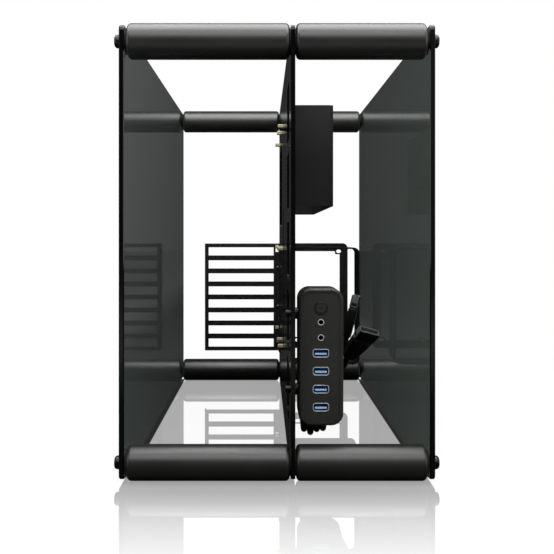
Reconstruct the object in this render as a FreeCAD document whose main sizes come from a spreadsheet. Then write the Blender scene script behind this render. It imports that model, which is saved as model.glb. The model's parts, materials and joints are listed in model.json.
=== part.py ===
import FreeCAD, Part
import math
import os
import re
import Sketcher

# An open computer case: two glass side panels and a middle plate, held apart by eight spacer tubes.
# Frame: millimetres, +X to the right of someone facing the front, +Y to the rear, +Z up.
# The origin lies on the floor, under the middle of the case.

SIZES = (
    ("tube_diameter", 33.0, "spacer tube, outside"),
    ("tube_wall", 5.5, "spacer tube, wall"),
    ("tube_chamfer", 4.0, "spacer tube, turned edge at each end"),
    ("plug_length", 20.0, "threaded plug in a tube's end"),
    ("frame_length", 552.0, "front to rear tube axes"),
    ("frame_height", 386.0, "lower to upper tube axes"),
    ("left_chamber", 150.6, "left glass to plate"),
    ("right_chamber", 121.4, "plate to right glass"),
    ("panel_margin", 13.0, "panel edge beyond the tube axes"),
    ("panel_corner", 5.0, "corner radius of glass and plate"),
    ("glass_thickness", 5.0, "side panel"),
    ("glass_arris", 0.8, "ground edge of the glass"),
    ("plate_thickness", 4.0, "middle plate"),
    ("gasket_thickness", 1.5, "between tube and glass"),
    ("gasket_diameter", 24.0, "between tube and panel"),
    ("plate_gasket_thickness", 1.0, "between tube and plate"),
    ("thread", 6.0, "corner screws and studs"),
    ("thread_clearance", 0.1, "radial, screw in its thread or plug in its tube"),
    ("hole_clearance", 0.5, "radial, screw through a plain hole"),
    ("screw_head_diameter", 12.4, "domed corner screw"),
    ("screw_head_height", 4.2, "domed corner screw"),
    ("screw_dome", 2.8, "slope of the domed head"),
    ("thread_grip", 12.0, "corner screw or stud inside its plug"),
    ("washer_diameter", 13.0, "under the domed head"),
    ("washer_thickness", 1.5, "under the domed head"),
    ("small_thread", 3.0, "sheet screws"),
    ("small_head_diameter", 6.6, "sheet screws"),
    ("small_head_height", 3.2, "sheet screws"),
    ("small_head_edge", 0.5, "slope of a sheet screw's head"),
    ("screw_end_gap", 0.5, "sheet screw short of the plate's far face"),
    ("window_setback", 57.0, "plate's front edge to its windows"),
    ("window_length", 72.0, "window in the plate, along the plate"),
    ("window_height", 57.0, "window in the plate, upright"),
    ("window_pitch", 69.0, "from window to window"),
    ("window_count", 5.0, "windows in the front column"),
    ("window_corner", 4.0, "corner radius of windows and openings"),
    ("socket_opening_length", 150.0, "opening behind the processor socket"),
    ("socket_opening_height", 110.0, "opening behind the processor socket"),
    ("socket_opening_inset", 20.0, "rear stand-off column to the opening"),
    ("socket_opening_rise", 30.0, "middle stand-off row to the opening"),
    ("cable_slot_width", 24.0, "cable openings of the plate"),
    ("cable_slot_length", 78.0, "cable openings of the plate"),
    ("cable_slot_gap", 14.0, "front stand-off column to the cable openings"),
    ("cable_slot_pitch", 96.0, "from cable opening to cable opening"),
    ("edge_slot_length", 60.0, "cable openings above and below the board"),
    ("edge_slot_width", 16.0, "cable openings above and below the board"),
    ("edge_slot_gap", 13.0, "outer stand-off row to the cable openings"),
    ("board_low_row", 83.3, "height of the lowest row of stand-offs"),
    ("board_low_gap", 124.46, "lowest to middle row"),
    ("board_high_gap", 157.48, "middle to highest row"),
    ("board_rear_gap", 154.94, "rear to middle column"),
    ("board_front_gap", 72.39, "middle to front column"),
    ("board_inset", 11.0, "slotted wall to the rear column"),
    ("standoff_across", 4.5, "stand-off, across its flats"),
    ("standoff_height", 6.5, "stand-off above the plate"),
    ("standoff_hole", 7.5, "bracket's hole round a stand-off"),
    ("standoff_bore", 2.6, "thread in the stand-off"),
    ("standoff_bore_depth", 5.0, "thread in the stand-off"),
    ("sheet", 1.5, "bent sheet of the slot bracket and drive cage"),
    ("sheet_bend", 2.5, "outer bend radius of the slot bracket"),
    ("slot_setback", 11.0, "slotted wall's outer face to the plate's rear edge"),
    ("slot_pitch", 20.32, "expansion slot to expansion slot"),
    ("slot_count", 8.0, "expansion slots"),
    ("slot_height", 12.6, "expansion slot opening"),
    ("slot_length", 101.3, "expansion slot opening"),
    ("slot_drop", 7.2, "middle stand-off row to the highest slot's middle"),
    ("slot_plate_gap", 9.2, "slot's end to the plate"),
    ("slot_rim", 6.0, "bracket beyond the slots"),
    ("slot_relief", 4.6, "bracket's openings beside the plate, along the wall"),
    ("slot_relief_high", 7.0, "upper opening beside the plate"),
    ("slot_relief_low", 3.0, "lower opening beside the plate"),
    ("bracket_flange", 24.0, "bracket's flange on the plate"),
    ("bracket_screw_drop", 24.0, "lowest bracket screw below the lowest stand-off row"),
    ("bracket_screw_spread", 30.0, "upper bracket screws from midway between the lower rows"),
    ("lip_hole", 6.6, "card screw's hole behind the slotted wall"),
    ("cage_depth", 48.9, "drive cage, out from the plate"),
    ("cage_height", 112.0, "drive cage, upright"),
    ("cage_drop", 33.0, "upper tube axes to the cage's upper edge"),
    ("cage_length", 378.5, "drive cage, front wall to rear wall"),
    ("cage_setback", 21.5, "cage's rear wall to the plate's rear edge"),
    ("cage_flange", 16.0, "cage's feet on the plate"),
    ("cage_bend", 5.5, "outer bend radius of the cage"),
    ("cage_screw_inset", 20.0, "cage's screws from its upper and lower edges"),
    ("drive_pitch", 113.0, "from drive to drive"),
    ("drive_count", 3.0, "drives in the cage"),
    ("drive_across", 95.25, "drive's screw holes, across"),
    ("drive_along", 44.45, "drive's screw holes, along"),
    ("drive_inset", 10.5, "cage's rear wall to the first column of slots"),
    ("drive_slot_width", 4.2, "screw slot for a drive"),
    ("drive_slot_length", 7.5, "screw slot for a drive"),
    ("supply_width", 86.0, "power supply, out from the plate"),
    ("supply_height", 150.0, "power supply, upright"),
    ("supply_frame_width", 102.1, "supply frame, out from the plate"),
    ("supply_frame_height", 163.2, "supply frame, upright"),
    ("supply_frame_bottom", 50.1, "supply frame's lower edge above the floor"),
    ("supply_frame_bar", 12.5, "supply frame's bars"),
    ("supply_frame_corner", 8.0, "supply frame's outer corners"),
    ("supply_sheet", 2.0, "supply frame and strap"),
    ("supply_setback", 13.0, "supply frame's rear face to the plate's rear edge"),
    ("supply_flange_height", 120.0, "supply frame's foot on the plate"),
    ("supply_slot_width", 5.3, "screw slot for the supply"),
    ("supply_slot_length", 7.3, "screw slot for the supply"),
    ("supply_lug", 2.0, "metal round a supply screw slot"),
    ("strap_distance", 203.0, "supply frame to the strap's front edge"),
    ("strap_width", 50.0, "strap, along the plate"),
    ("strap_clearance", 0.4, "strap clear of the supply, above and below"),
    ("strap_side_gap", 2.4, "strap clear of the supply's side"),
    ("strap_foot", 18.0, "strap's feet on the plate"),
    ("strap_bend", 8.0, "outer bend radius of the strap"),
    ("module_width", 41.9, "port module"),
    ("module_height", 127.4, "port module"),
    ("module_depth", 40.0, "port module"),
    ("module_bottom", 48.3, "port module above the floor"),
    ("module_setback", 20.0, "plate's front edge to the module's face"),
    ("module_gap", 3.5, "plate to module"),
    ("module_corner", 11.5, "module's corners"),
    ("module_edge", 2.6, "rounding of the module's front and rear edges"),
    ("module_wall", 2.0, "module's shell"),
    ("module_rim", 3.2, "shell round the face plate"),
    ("module_pad", 11.0, "module's feet on the plate"),
    ("module_post", 9.0, "screw posts inside the module"),
    ("module_screw_spacing", 72.0, "between the module's two screws"),
    ("module_screw_rise", 2.9, "middle of the two screws above the module's middle"),
    ("module_screw_reach", 14.0, "module's screws past the middle of the module"),
    ("module_head_diameter", 7.0, "module's cap screws"),
    ("module_head_height", 4.0, "module's cap screws"),
    ("module_head_edge", 0.5, "slope of a cap screw's head"),
    ("face_inset", 0.8, "face plate behind the shell's front"),
    ("face_flange", 1.5, "face plate's edge behind the rim"),
    ("moulding_clearance", 0.15, "face plate and board in their seats"),
    ("board_thickness", 1.6, "port circuit board"),
    ("port_depth", 14.0, "sockets, face plate to board"),
    ("usb_low", 17.2, "lowest USB socket above the module's foot"),
    ("usb_pitch", 16.67, "USB socket to USB socket"),
    ("usb_count", 4.0, "USB sockets"),
    ("usb_width", 13.2, "USB shell, outside"),
    ("usb_height", 5.8, "USB shell, outside"),
    ("usb_sheet", 0.4, "USB shell"),
    ("usb_corner", 1.2, "USB shell's outer corners"),
    ("usb_flare", 1.0, "USB shell's lips, outwards"),
    ("usb_flare_depth", 2.0, "USB shell's lips, inwards"),
    ("usb_clearance", 0.2, "USB shell in the face plate"),
    ("usb_tongue_width", 11.1, "USB tongue"),
    ("usb_tongue_height", 1.9, "USB tongue"),
    ("usb_tongue_drop", 0.7, "USB tongue below the socket's middle"),
    ("usb_tongue_setback", 1.6, "USB tongue behind the lips"),
    ("usb_base", 3.0, "block that holds the USB tongue"),
    ("jack_low", 81.6, "lower audio jack above the module's foot"),
    ("jack_pitch", 14.3, "audio jack to audio jack"),
    ("jack_diameter", 6.0, "audio jack's nose"),
    ("jack_bore", 3.6, "audio jack's bore"),
    ("jack_bore_depth", 12.0, "audio jack's bore"),
    ("jack_body", 8.0, "audio jack behind the face plate"),
    ("button_up", 109.0, "power button above the module's foot"),
    ("button_diameter", 12.8, "hole for the power button"),
    ("button_clearance", 0.3, "power button in its hole, radial, and behind the face"),
    ("button_proud", 0.3, "power button in front of the face plate"),
    ("button_flange", 1.0, "power button's edge behind the face plate"),
    ("button_stem", 5.0, "power button's stem"),
    ("button_travel", 1.0, "power button pressed home"),
    ("button_edge", 0.5, "slope of the power button's edge"),
    ("plunger_diameter", 3.0, "switch plunger"),
    ("plunger_length", 2.2, "switch plunger"),
    ("switch_size", 6.2, "switch housing"),
    ("switch_height", 3.2, "switch housing on the board"),
    ("cable_diameter", 6.2, "USB cables"),
    ("grommet_flange", 10.0, "cable grommet outside the module"),
    ("grommet_thickness", 1.4, "cable grommet's flanges"),
    ("grommet_neck", 8.0, "cable grommet in the wall"),
    ("lead_up", 17.7, "lower cable's exit above the module's foot"),
    ("lead_spacing", 50.0, "lower to upper cable's exit"),
    ("lead_length", 14.0, "module's rear to the hank"),
    ("hank_width", 19.0, "tied cable, across: three strands"),
    ("hank_depth", 50.0, "tied cable, front to rear"),
    ("hank_bottom", 22.2, "tied cable's lowest point"),
    ("hank_top", 150.0, "tied cable's highest point"),
    ("hank_turn", 24.0, "outer radius of the hank's folds"),
    ("hank_edge", 5.0, "slope of the tied bundle's edges"),
    ("hank_gap", 9.0, "plate to the tied cable"),
    ("loose_bottom", 26.1, "lowest point of the loose fold"),
    ("loose_top", 66.0, "highest point of the loose fold"),
    ("loose_inset", 6.0, "loose fold in from the hank's ends"),
    ("tie_height", 55.0, "lower edge of the cable tie"),
    ("tie_width", 4.0, "cable tie"),
    ("tie_thickness", 1.2, "cable tie"),
    ("tie_clearance", 0.3, "cable tie round the hank"),
    ("tie_head", 5.6, "cable tie's head, along the band"),
    ("tie_head_depth", 4.2, "cable tie's head, out from the band"),
    ("header_width", 22.0, "header plug"),
    ("header_thickness", 8.4, "header plug"),
    ("header_body", 13.0, "header plug"),
    ("boot_length", 30.0, "plug's moulded boot"),
    ("boot_width", 21.0, "plug's moulded boot at the plug"),
    ("boot_end", 14.0, "plug's moulded boot at the cable"),
    ("boot_slim", 9.0, "plug's moulded boot, its thickness"),
)

PLACES = (
    ("tube_low", "tube_diameter / 2"),
    ("tube_high", "tube_low + frame_height"),
    ("tube_front", "-frame_length / 2"),
    ("tube_rear", "frame_length / 2"),
    ("panel_front", "tube_front - panel_margin"),
    ("panel_rear", "tube_rear + panel_margin"),
    ("panel_bottom", "tube_low - panel_margin"),
    ("panel_top", "tube_high + panel_margin"),
    ("left_outer", "-(left_chamber + plate_thickness + right_chamber) / 2 - glass_thickness"),
    ("left_inner", "left_outer + glass_thickness"),
    ("plate_left", "left_inner + left_chamber"),
    ("plate_right", "plate_left + plate_thickness"),
    ("right_inner", "plate_right + right_chamber"),
    ("right_outer", "right_inner + glass_thickness"),
    ("left_tube_length", "left_chamber - gasket_thickness - plate_gasket_thickness"),
    ("right_tube_length", "right_chamber - gasket_thickness - plate_gasket_thickness"),
    ("slot_wall", "panel_rear - slot_setback"),
    ("board_row_1", "board_low_row"),
    ("board_row_2", "board_row_1 + board_low_gap"),
    ("board_row_3", "board_row_2 + board_high_gap"),
    ("board_column_1", "slot_wall - board_inset"),
    ("board_column_2", "board_column_1 - board_rear_gap"),
    ("board_column_3", "board_column_2 - board_front_gap"),
    ("slot_right", "plate_left - slot_plate_gap"),
    ("slot_left", "slot_right - slot_length"),
    ("slot_top", "board_row_2 - slot_drop + slot_height / 2"),
    ("bracket_left", "slot_left - slot_rim"),
    ("bracket_top", "slot_top + slot_rim"),
    ("bracket_bottom", "slot_top - (slot_count - 1) * slot_pitch - slot_height - slot_rim"),
    ("cage_bottom", "tube_high - cage_drop - cage_height"),
    ("cage_rear", "panel_rear - cage_setback"),
    ("cage_front", "cage_rear - cage_length"),
    ("cage_face", "plate_right + cage_depth"),
    ("supply_plane", "panel_rear - supply_setback"),
    ("supply_right", "plate_right + supply_frame_width"),
    ("supply_top", "supply_frame_bottom + supply_frame_height"),
    ("supply_left_side", "plate_right + (supply_frame_width - supply_width) / 2"),
    ("supply_low_side", "supply_frame_bottom + (supply_frame_height - supply_height) / 2"),
    ("strap_front", "supply_plane - strap_distance"),
    ("strap_right", "supply_left_side + supply_width + strap_side_gap + supply_sheet"),
    ("strap_low", "supply_low_side - strap_clearance - supply_sheet"),
    ("strap_high", "supply_low_side + supply_height + strap_clearance + supply_sheet"),
    ("module_left", "plate_right + module_gap"),
    ("module_middle", "module_left + module_width / 2"),
    ("module_front", "panel_front + module_setback"),
    ("module_rear", "module_front + module_depth"),
    ("module_centre", "module_bottom + module_height / 2"),
    ("face_front", "module_front + face_inset"),
    ("face_back", "module_front + module_wall + face_flange"),
    ("board_front", "face_front + port_depth"),
    ("board_back", "board_front + board_thickness"),
    ("post_depth", "board_back + module_post / 2 + moulding_clearance"),
    ("module_screw_low", "module_centre + module_screw_rise - module_screw_spacing / 2"),
    ("module_screw_high", "module_screw_low + module_screw_spacing"),
    ("switch_front", "board_front - switch_height"),
    ("plunger_front", "switch_front - button_travel - button_clearance + thread_clearance"),
    ("lead_low", "module_bottom + lead_up"),
    ("hank_front", "module_rear + lead_length"),
    ("hank_rear", "hank_front + hank_depth"),
    ("hank_left", "plate_right + hank_gap"),
    ("hank_right", "hank_left + hank_width"),
    ("hank_middle", "hank_left + hank_width / 2"),
    ("loose_right", "hank_right + cable_diameter"),
)

# Rows and columns of the board's nine stand-offs.
BOARD_ROWS = ("board_row_1", "board_row_2", "board_row_3")
BOARD_COLUMNS = ("board_column_1", "board_column_2", "board_column_3")

# Sheet screws, each as its place along the plate and its height.
BRACKET_SCREWS = (
    ("board_column_1", "board_row_1 - bracket_screw_drop"),
    ("board_column_1", "(board_row_1 + board_row_2) / 2 - bracket_screw_spread"),
    ("board_column_1", "(board_row_1 + board_row_2) / 2 + bracket_screw_spread"),
)
CAGE_SCREWS = (
    ("cage_front - cage_flange / 2", "cage_bottom + cage_screw_inset"),
    ("cage_front - cage_flange / 2", "cage_bottom + cage_height - cage_screw_inset"),
    ("cage_rear + cage_flange / 2", "cage_bottom + cage_screw_inset"),
    ("cage_rear + cage_flange / 2", "cage_bottom + cage_height - cage_screw_inset"),
)
SUPPLY_SCREWS = (
    ("panel_rear - supply_setback / 2", "supply_low_side + supply_height / 2 - supply_flange_height / 3"),
    ("panel_rear - supply_setback / 2", "supply_low_side + supply_height / 2"),
    ("panel_rear - supply_setback / 2", "supply_low_side + supply_height / 2 + supply_flange_height / 3"),
)
STRAP_SCREWS = (
    ("strap_front + strap_width / 4", "strap_low - strap_foot + small_head_diameter"),
    ("strap_front + strap_width * 3 / 4", "strap_low - strap_foot + small_head_diameter"),
    ("strap_front + strap_width / 4", "strap_high + strap_foot - small_head_diameter"),
    ("strap_front + strap_width * 3 / 4", "strap_high + strap_foot - small_head_diameter"),
)
MODULE_SCREWS = (
    ("post_depth", "module_screw_low"),
    ("post_depth", "module_screw_high"),
)

# A power supply's four screws: from its lower edge along its height, and from its left side.
SUPPLY_HOLES = (("6", "16"), ("6", "80"), ("144", "80"), ("120", "6"))

# The four corners of the frame.
CORNERS = (
    ("front_bottom", "tube_front", "tube_low"),
    ("front_top", "tube_front", "tube_high"),
    ("rear_bottom", "tube_rear", "tube_low"),
    ("rear_top", "tube_rear", "tube_high"),
)

# Routes of the two cable tails to the ends of the plugs' boots, chosen by hand.
# They are measured from the hank's right side, front and foot: one leaves the side, one the loose fold.
TAIL_A = (
    (0.0, 33.0, 66.1),
    (11.8, 33.0, 66.1),
    (23.0, 28.3, 71.3),
    (28.7, 20.5, 80.0),
)
TAIL_B = (
    (3.1, 25.0, 43.8),
    (3.1, 25.0, 59.8),
    (12.6, 25.0, 75.0),
    (24.0, 25.0, 85.5),
    (27.5, 25.0, 99.6),
)
PLUG_A_TURN = 15.0
PLUG_B_TURN = 90.0
RUN_SHARE = 0.45

V = FreeCAD.Vector
LEFTWARD = FreeCAD.Rotation(V(0, 0, 1), 180)
SAME = 1e-4

doc = FreeCAD.newDocument("computer_case")
sizes = doc.addObject("Spreadsheet::Sheet", "sizes")
places = doc.addObject("Spreadsheet::Sheet", "places")
nodes = []

WORD = re.compile(r"[a-z_][a-z_0-9]*")
size_cells = {row[0]: "sizes." + row[0] for row in SIZES}
place_cells = {row[0]: "places." + row[0] for row in PLACES}


def cell_formula(text):
    """A formula of the places sheet, with each driving size written as its cell."""
    return "=" + WORD.sub(lambda word: size_cells.get(word.group(0), word.group(0)), text)


def formula(text):
    """A formula for a feature, with each name written as its cell."""
    cells = {**size_cells, **place_cells}
    return WORD.sub(lambda word: cells.get(word.group(0), word.group(0)), text)


def value(text):
    """What a formula comes to, in millimetres."""
    return float(sizes.evalExpression(formula(text)))


def fill_sheets():
    """Put every driving size, and every place worked out from them, in its own named cell."""
    for row, (name, number, note) in enumerate(SIZES, 1):
        sizes.set("A%d" % row, name)
        sizes.set("B%d" % row, str(number))
        sizes.set("C%d" % row, note)
        sizes.setAlias("B%d" % row, name)
    doc.recompute()
    for row, (name, text) in enumerate(PLACES, 1):
        places.set("A%d" % row, name)
        places.set("B%d" % row, cell_formula(text))
        places.setAlias("B%d" % row, name)
    doc.recompute()


def bind(thing, prop, text):
    """Tie a property to a formula of sizes."""
    thing.setExpression(prop, formula(text))


def place(thing, x="0", y="0", z="0", turn=None):
    """Stand a piece at three formulas, turned first if a turn is given."""
    if turn is not None:
        thing.Placement = FreeCAD.Placement(V(0, 0, 0), turn)
    for axis, text in zip("xyz", (x, y, z)):
        bind(thing, "Placement.Base." + axis, text)
    return thing


def keep(thing):
    """Count a finished piece among those that are written."""
    nodes.append(thing)
    return thing


def new_body(label):
    body = doc.addObject("PartDesign::Body", label)
    body.Label = label
    return body


def new_sketch(body, role, offset=None):
    """A sketch on one of the body's own planes, moved along that plane's normal by a formula."""
    sketch = body.newObject("Sketcher::SketchObject", "sketch")
    support = [plane for plane in body.Origin.OriginFeatures if plane.Role == role][0]
    sketch.AttachmentSupport = [(support, "")]
    sketch.MapMode = "FlatFace"
    if offset is not None:
        bind(sketch, "AttachmentOffset.Base.z", offset)
    return sketch


def limit(sketch, kind, geometry, point, text):
    """Hold one coordinate of a sketch point at a formula."""
    rule = Sketcher.Constraint(kind, -1, 1, geometry, point, value(text))
    bind(sketch, "Constraints[%d]" % sketch.addConstraint(rule), text)


def draw_polygon(sketch, points):
    """A closed outline of straight lines through points given as formulas."""
    spots = [V(value(x), value(y), 0) for x, y in points]
    lines = [sketch.addGeometry(Part.LineSegment(a, b)) for a, b in zip(spots, spots[1:] + spots[:1])]
    for line, following in zip(lines, lines[1:] + lines[:1]):
        sketch.addConstraint(Sketcher.Constraint("Coincident", line, 2, following, 1))
    for line, (x, y) in zip(lines, points):
        limit(sketch, "DistanceX", line, 1, x)
        limit(sketch, "DistanceY", line, 1, y)


def draw_circle(sketch, x, y, radius):
    centre = V(value(x), value(y), 0)
    circle = sketch.addGeometry(Part.Circle(centre, V(0, 0, 1), value(radius)))
    limit(sketch, "DistanceX", circle, 3, x)
    limit(sketch, "DistanceY", circle, 3, y)
    rule = sketch.addConstraint(Sketcher.Constraint("Radius", circle, value(radius)))
    bind(sketch, "Constraints[%d]" % rule, radius)


def draw_rounded(sketch, left, right, low, high, radius):
    """A rectangle with four equal round corners, its sides at formulas."""
    x0, x1, y0, y1, r = (value(text) for text in (left, right, low, high, radius))
    up = V(0, 0, 1)
    bottom = sketch.addGeometry(Part.LineSegment(V(x0 + r, y0, 0), V(x1 - r, y0, 0)))
    side = sketch.addGeometry(Part.LineSegment(V(x1, y0 + r, 0), V(x1, y1 - r, 0)))
    top = sketch.addGeometry(Part.LineSegment(V(x1 - r, y1, 0), V(x0 + r, y1, 0)))
    other = sketch.addGeometry(Part.LineSegment(V(x0, y1 - r, 0), V(x0, y0 + r, 0)))
    centres = (V(x1 - r, y0 + r, 0), V(x1 - r, y1 - r, 0), V(x0 + r, y1 - r, 0), V(x0 + r, y0 + r, 0))
    lines = (bottom, side, top, other)
    arcs = []
    for quarter, centre in enumerate(centres):
        start = (quarter - 1) * math.pi / 2
        arc = Part.ArcOfCircle(Part.Circle(centre, up, r), start, start + math.pi / 2)
        arcs.append(sketch.addGeometry(arc))
    for line, arc, following in zip(lines, arcs, lines[1:] + lines[:1]):
        sketch.addConstraint(Sketcher.Constraint("Tangent", line, 2, arc, 1))
        sketch.addConstraint(Sketcher.Constraint("Tangent", arc, 2, following, 1))
    sketch.addConstraint(Sketcher.Constraint("Horizontal", bottom))
    sketch.addConstraint(Sketcher.Constraint("Horizontal", top))
    sketch.addConstraint(Sketcher.Constraint("Vertical", side))
    sketch.addConstraint(Sketcher.Constraint("Vertical", other))
    for arc in arcs[1:]:
        sketch.addConstraint(Sketcher.Constraint("Equal", arcs[0], arc))
    limit(sketch, "DistanceX", other, 1, left)
    limit(sketch, "DistanceX", side, 1, right)
    limit(sketch, "DistanceY", bottom, 1, low)
    limit(sketch, "DistanceY", top, 1, high)
    rule = sketch.addConstraint(Sketcher.Constraint("Radius", arcs[0], r))
    bind(sketch, "Constraints[%d]" % rule, radius)


def draw_slot(sketch, ends, radius):
    """A slot with round ends, about the two centres given as formulas."""
    spots = [V(value(x), value(y), 0) for x, y in ends]
    along = (spots[1] - spots[0]).normalize()
    side = V(-along.y, along.x, 0) * value(radius)
    start = math.atan2(side.y, side.x)
    arcs = []
    for spot, angle in zip(spots, (start, start + math.pi)):
        circle = Part.Circle(spot, V(0, 0, 1), value(radius))
        arcs.append(sketch.addGeometry(Part.ArcOfCircle(circle, angle, angle + math.pi)))
    low = sketch.addGeometry(Part.LineSegment(spots[0] - side, spots[1] - side))
    high = sketch.addGeometry(Part.LineSegment(spots[1] + side, spots[0] + side))
    for first, second in ((arcs[0], low), (low, arcs[1]), (arcs[1], high), (high, arcs[0])):
        sketch.addConstraint(Sketcher.Constraint("Tangent", first, 2, second, 1))
    sketch.addConstraint(Sketcher.Constraint("Equal", *arcs))
    for arc, (x, y) in zip(arcs, ends):
        limit(sketch, "DistanceX", arc, 3, x)
        limit(sketch, "DistanceY", arc, 3, y)
    rule = sketch.addConstraint(Sketcher.Constraint("Radius", arcs[0], value(radius)))
    bind(sketch, "Constraints[%d]" % rule, radius)


def pad(body, sketch, length, backward=False):
    feature = body.newObject("PartDesign::Pad", "pad")
    feature.Profile = sketch
    feature.Reversed = backward
    bind(feature, "Length", length)
    return feature


def pocket(body, sketch, depth=None, backward=False):
    """Cut along the sketch's normal, or against it, by a depth or all the way; it has to remove something."""
    doc.recompute()
    before = body.Shape.Volume
    feature = body.newObject("PartDesign::Pocket", "pocket")
    feature.Profile = sketch
    feature.Reversed = not backward
    if depth is None:
        feature.Type = "ThroughAll"
    else:
        bind(feature, "Length", depth)
    doc.recompute()
    if body.Shape.Volume >= before - SAME:
        raise ValueError(body.Label + ": a pocket cuts nothing")
    return feature


def repeat(body, feature, sketch, axis, span, count, backward=False):
    """Repeat a feature along a sketch's axis, over a span, a number of times in all."""
    pattern = body.newObject("PartDesign::LinearPattern", "pattern")
    pattern.Originals = [feature]
    pattern.Direction = (sketch, [axis])
    pattern.Reversed = backward
    bind(pattern, "Length", span)
    bind(pattern, "Occurrences", count)
    body.Tip = pattern
    return pattern


def turn(body, role, points, axis):
    """Revolve an outline of formulas about an axis of its sketch."""
    sketch = new_sketch(body, role)
    draw_polygon(sketch, points)
    feature = body.newObject("PartDesign::Revolution", "turned")
    feature.Profile = sketch
    feature.ReferenceAxis = (sketch, [axis])
    feature.Angle = 360
    return feature


def edges_where(shape, test):
    """Names of the edges of a shape that pass a test."""
    return ["Edge%d" % number for number, edge in enumerate(shape.Edges, 1) if test(edge)]


def dress(body, kind, size, test):
    """Fillet or chamfer the edges of the body's last feature that pass a test."""
    doc.recompute()
    base = body.Tip
    names = edges_where(base.Shape, test)
    if not names:
        raise ValueError(body.Label + ": no edge to dress")
    feature = body.newObject("PartDesign::" + kind, kind.lower())
    feature.Base = (base, names)
    bind(feature, "Radius" if kind == "Fillet" else "Size", size)
    return feature


def lies_at(axis, number):
    """A test for edges that lie in the plane where one coordinate has a value."""
    low, high = axis.upper() + "Min", axis.upper() + "Max"

    def test(edge):
        box = edge.BoundBox
        return abs(getattr(box, low) - number) < SAME and abs(getattr(box, high) - number) < SAME
    return test


def passes(axes, spots):
    """A test for straight edges whose two named coordinates are one of a list of spots."""
    first, second = axes.upper()

    def test(edge):
        ends = [(getattr(v, first), getattr(v, second)) for v in edge.Vertexes]
        return any(all(math.dist(end, spot) < SAME for end in ends) for spot in spots)
    return test


def bend(body, axes, outer, inner, radius, thickness):
    """Round the two sides of each fold of a bent sheet."""
    for corners, size in ((outer, radius), (inner, "%s - %s" % (radius, thickness))):
        spots = [(value(x), value(y)) for x, y in corners]
        dress(body, "Fillet", size, passes(axes, spots))


def group(label, master, spots, turned=None):
    """Copies of one piece at a list of places, as one node of separate solids."""
    copies = []
    for spot in spots:
        copy = doc.addObject("App::Link", label + "_copy")
        copy.LinkedObject = master
        copies.append(place(copy, *spot, turn=turned))
    whole = doc.addObject("Part::Compound", label)
    whole.Label = label
    whole.Links = copies
    return keep(whole)


def panel_outline(sketch):
    draw_rounded(sketch, "panel_front", "panel_rear", "panel_bottom", "panel_top", "panel_corner")
    for _, y, z in CORNERS:
        draw_circle(sketch, y, z, "thread / 2 + hole_clearance")


def make_glass(label, x):
    """A glass side panel: rounded corners, four screw holes, and a ground arris all round."""
    body = new_body(label)
    sketch = new_sketch(body, "YZ_Plane")
    panel_outline(sketch)
    pad(body, sketch, "glass_thickness")
    near = lies_at("x", 0)
    far = lies_at("x", value("glass_thickness"))
    dress(body, "Chamfer", "glass_arris", lambda edge: not edge.isClosed() and (near(edge) or far(edge)))
    return keep(place(body, x))


def make_plate():
    """The middle plate: a column of windows, a socket opening, cable openings, and every screw's hole."""
    body = new_body("mid_plate")
    sketch = new_sketch(body, "YZ_Plane")
    panel_outline(sketch)
    pad(body, sketch, "plate_thickness")

    window = new_sketch(body, "YZ_Plane")
    front = "panel_front + window_setback"
    low = "(panel_bottom + panel_top - (window_count - 1) * window_pitch - window_height) / 2"
    draw_rounded(window, front, front + " + window_length", low, low + " + window_height", "window_corner")
    first = pocket(body, window)
    repeat(body, first, window, "V_Axis", "(window_count - 1) * window_pitch", "window_count")

    opening = new_sketch(body, "YZ_Plane")
    rear = "board_column_1 - socket_opening_inset"
    low = "board_row_2 + socket_opening_rise"
    draw_rounded(opening, rear + " - socket_opening_length", rear, low, low + " + socket_opening_height",
                 "window_corner")
    pocket(body, opening)

    cables = new_sketch(body, "YZ_Plane")
    rear = "board_column_3 - cable_slot_gap"
    draw_rounded(cables, rear + " - cable_slot_width", rear, "board_row_1",
                 "board_row_1 + cable_slot_length", "window_corner")
    first = pocket(body, cables)
    repeat(body, first, cables, "V_Axis", "cable_slot_pitch", "2")

    edges = new_sketch(body, "YZ_Plane")
    y = "board_column_2 + board_rear_gap / 2"
    for z in ("board_row_3 + edge_slot_gap", "board_row_1 - edge_slot_gap - edge_slot_width"):
        draw_rounded(edges, y + " - edge_slot_length / 2", y + " + edge_slot_length / 2", z,
                     z + " + edge_slot_width", "window_corner")
    pocket(body, edges)

    holes = new_sketch(body, "YZ_Plane")
    for y in BOARD_COLUMNS:
        for z in BOARD_ROWS:
            draw_circle(holes, y, z, "small_thread / 2 + thread_clearance")
    for y, z in BRACKET_SCREWS + CAGE_SCREWS + SUPPLY_SCREWS + STRAP_SCREWS + MODULE_SCREWS:
        draw_circle(holes, y, z, "small_thread / 2 + thread_clearance")
    pocket(body, holes)
    return keep(place(body, "plate_left"))


def make_tube(label, length, x, y, z):
    """A spacer tube: turned to length, with a chamfer at each end."""
    body = new_body(label)
    radius = "tube_diameter / 2"
    turn(body, "XZ_Plane", (
        ("0", radius + " - tube_wall"),
        ("0", radius + " - tube_chamfer"),
        ("tube_chamfer", radius),
        (length + " - tube_chamfer", radius),
        (length, radius + " - tube_chamfer"),
        (length, radius + " - tube_wall"),
    ), "H_Axis")
    return keep(place(body, x, y, z))


def turned_piece(label, points):
    """A piece turned about its own X axis."""
    body = new_body(label)
    turn(body, "XZ_Plane", points, "H_Axis")
    return body


def ring(label, outside, inside, thickness):
    """A flat ring: its outer and inner radius, and how thick it is along X."""
    return turned_piece(label, (("0", inside), ("0", outside), (thickness, outside), (thickness, inside)))


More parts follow.
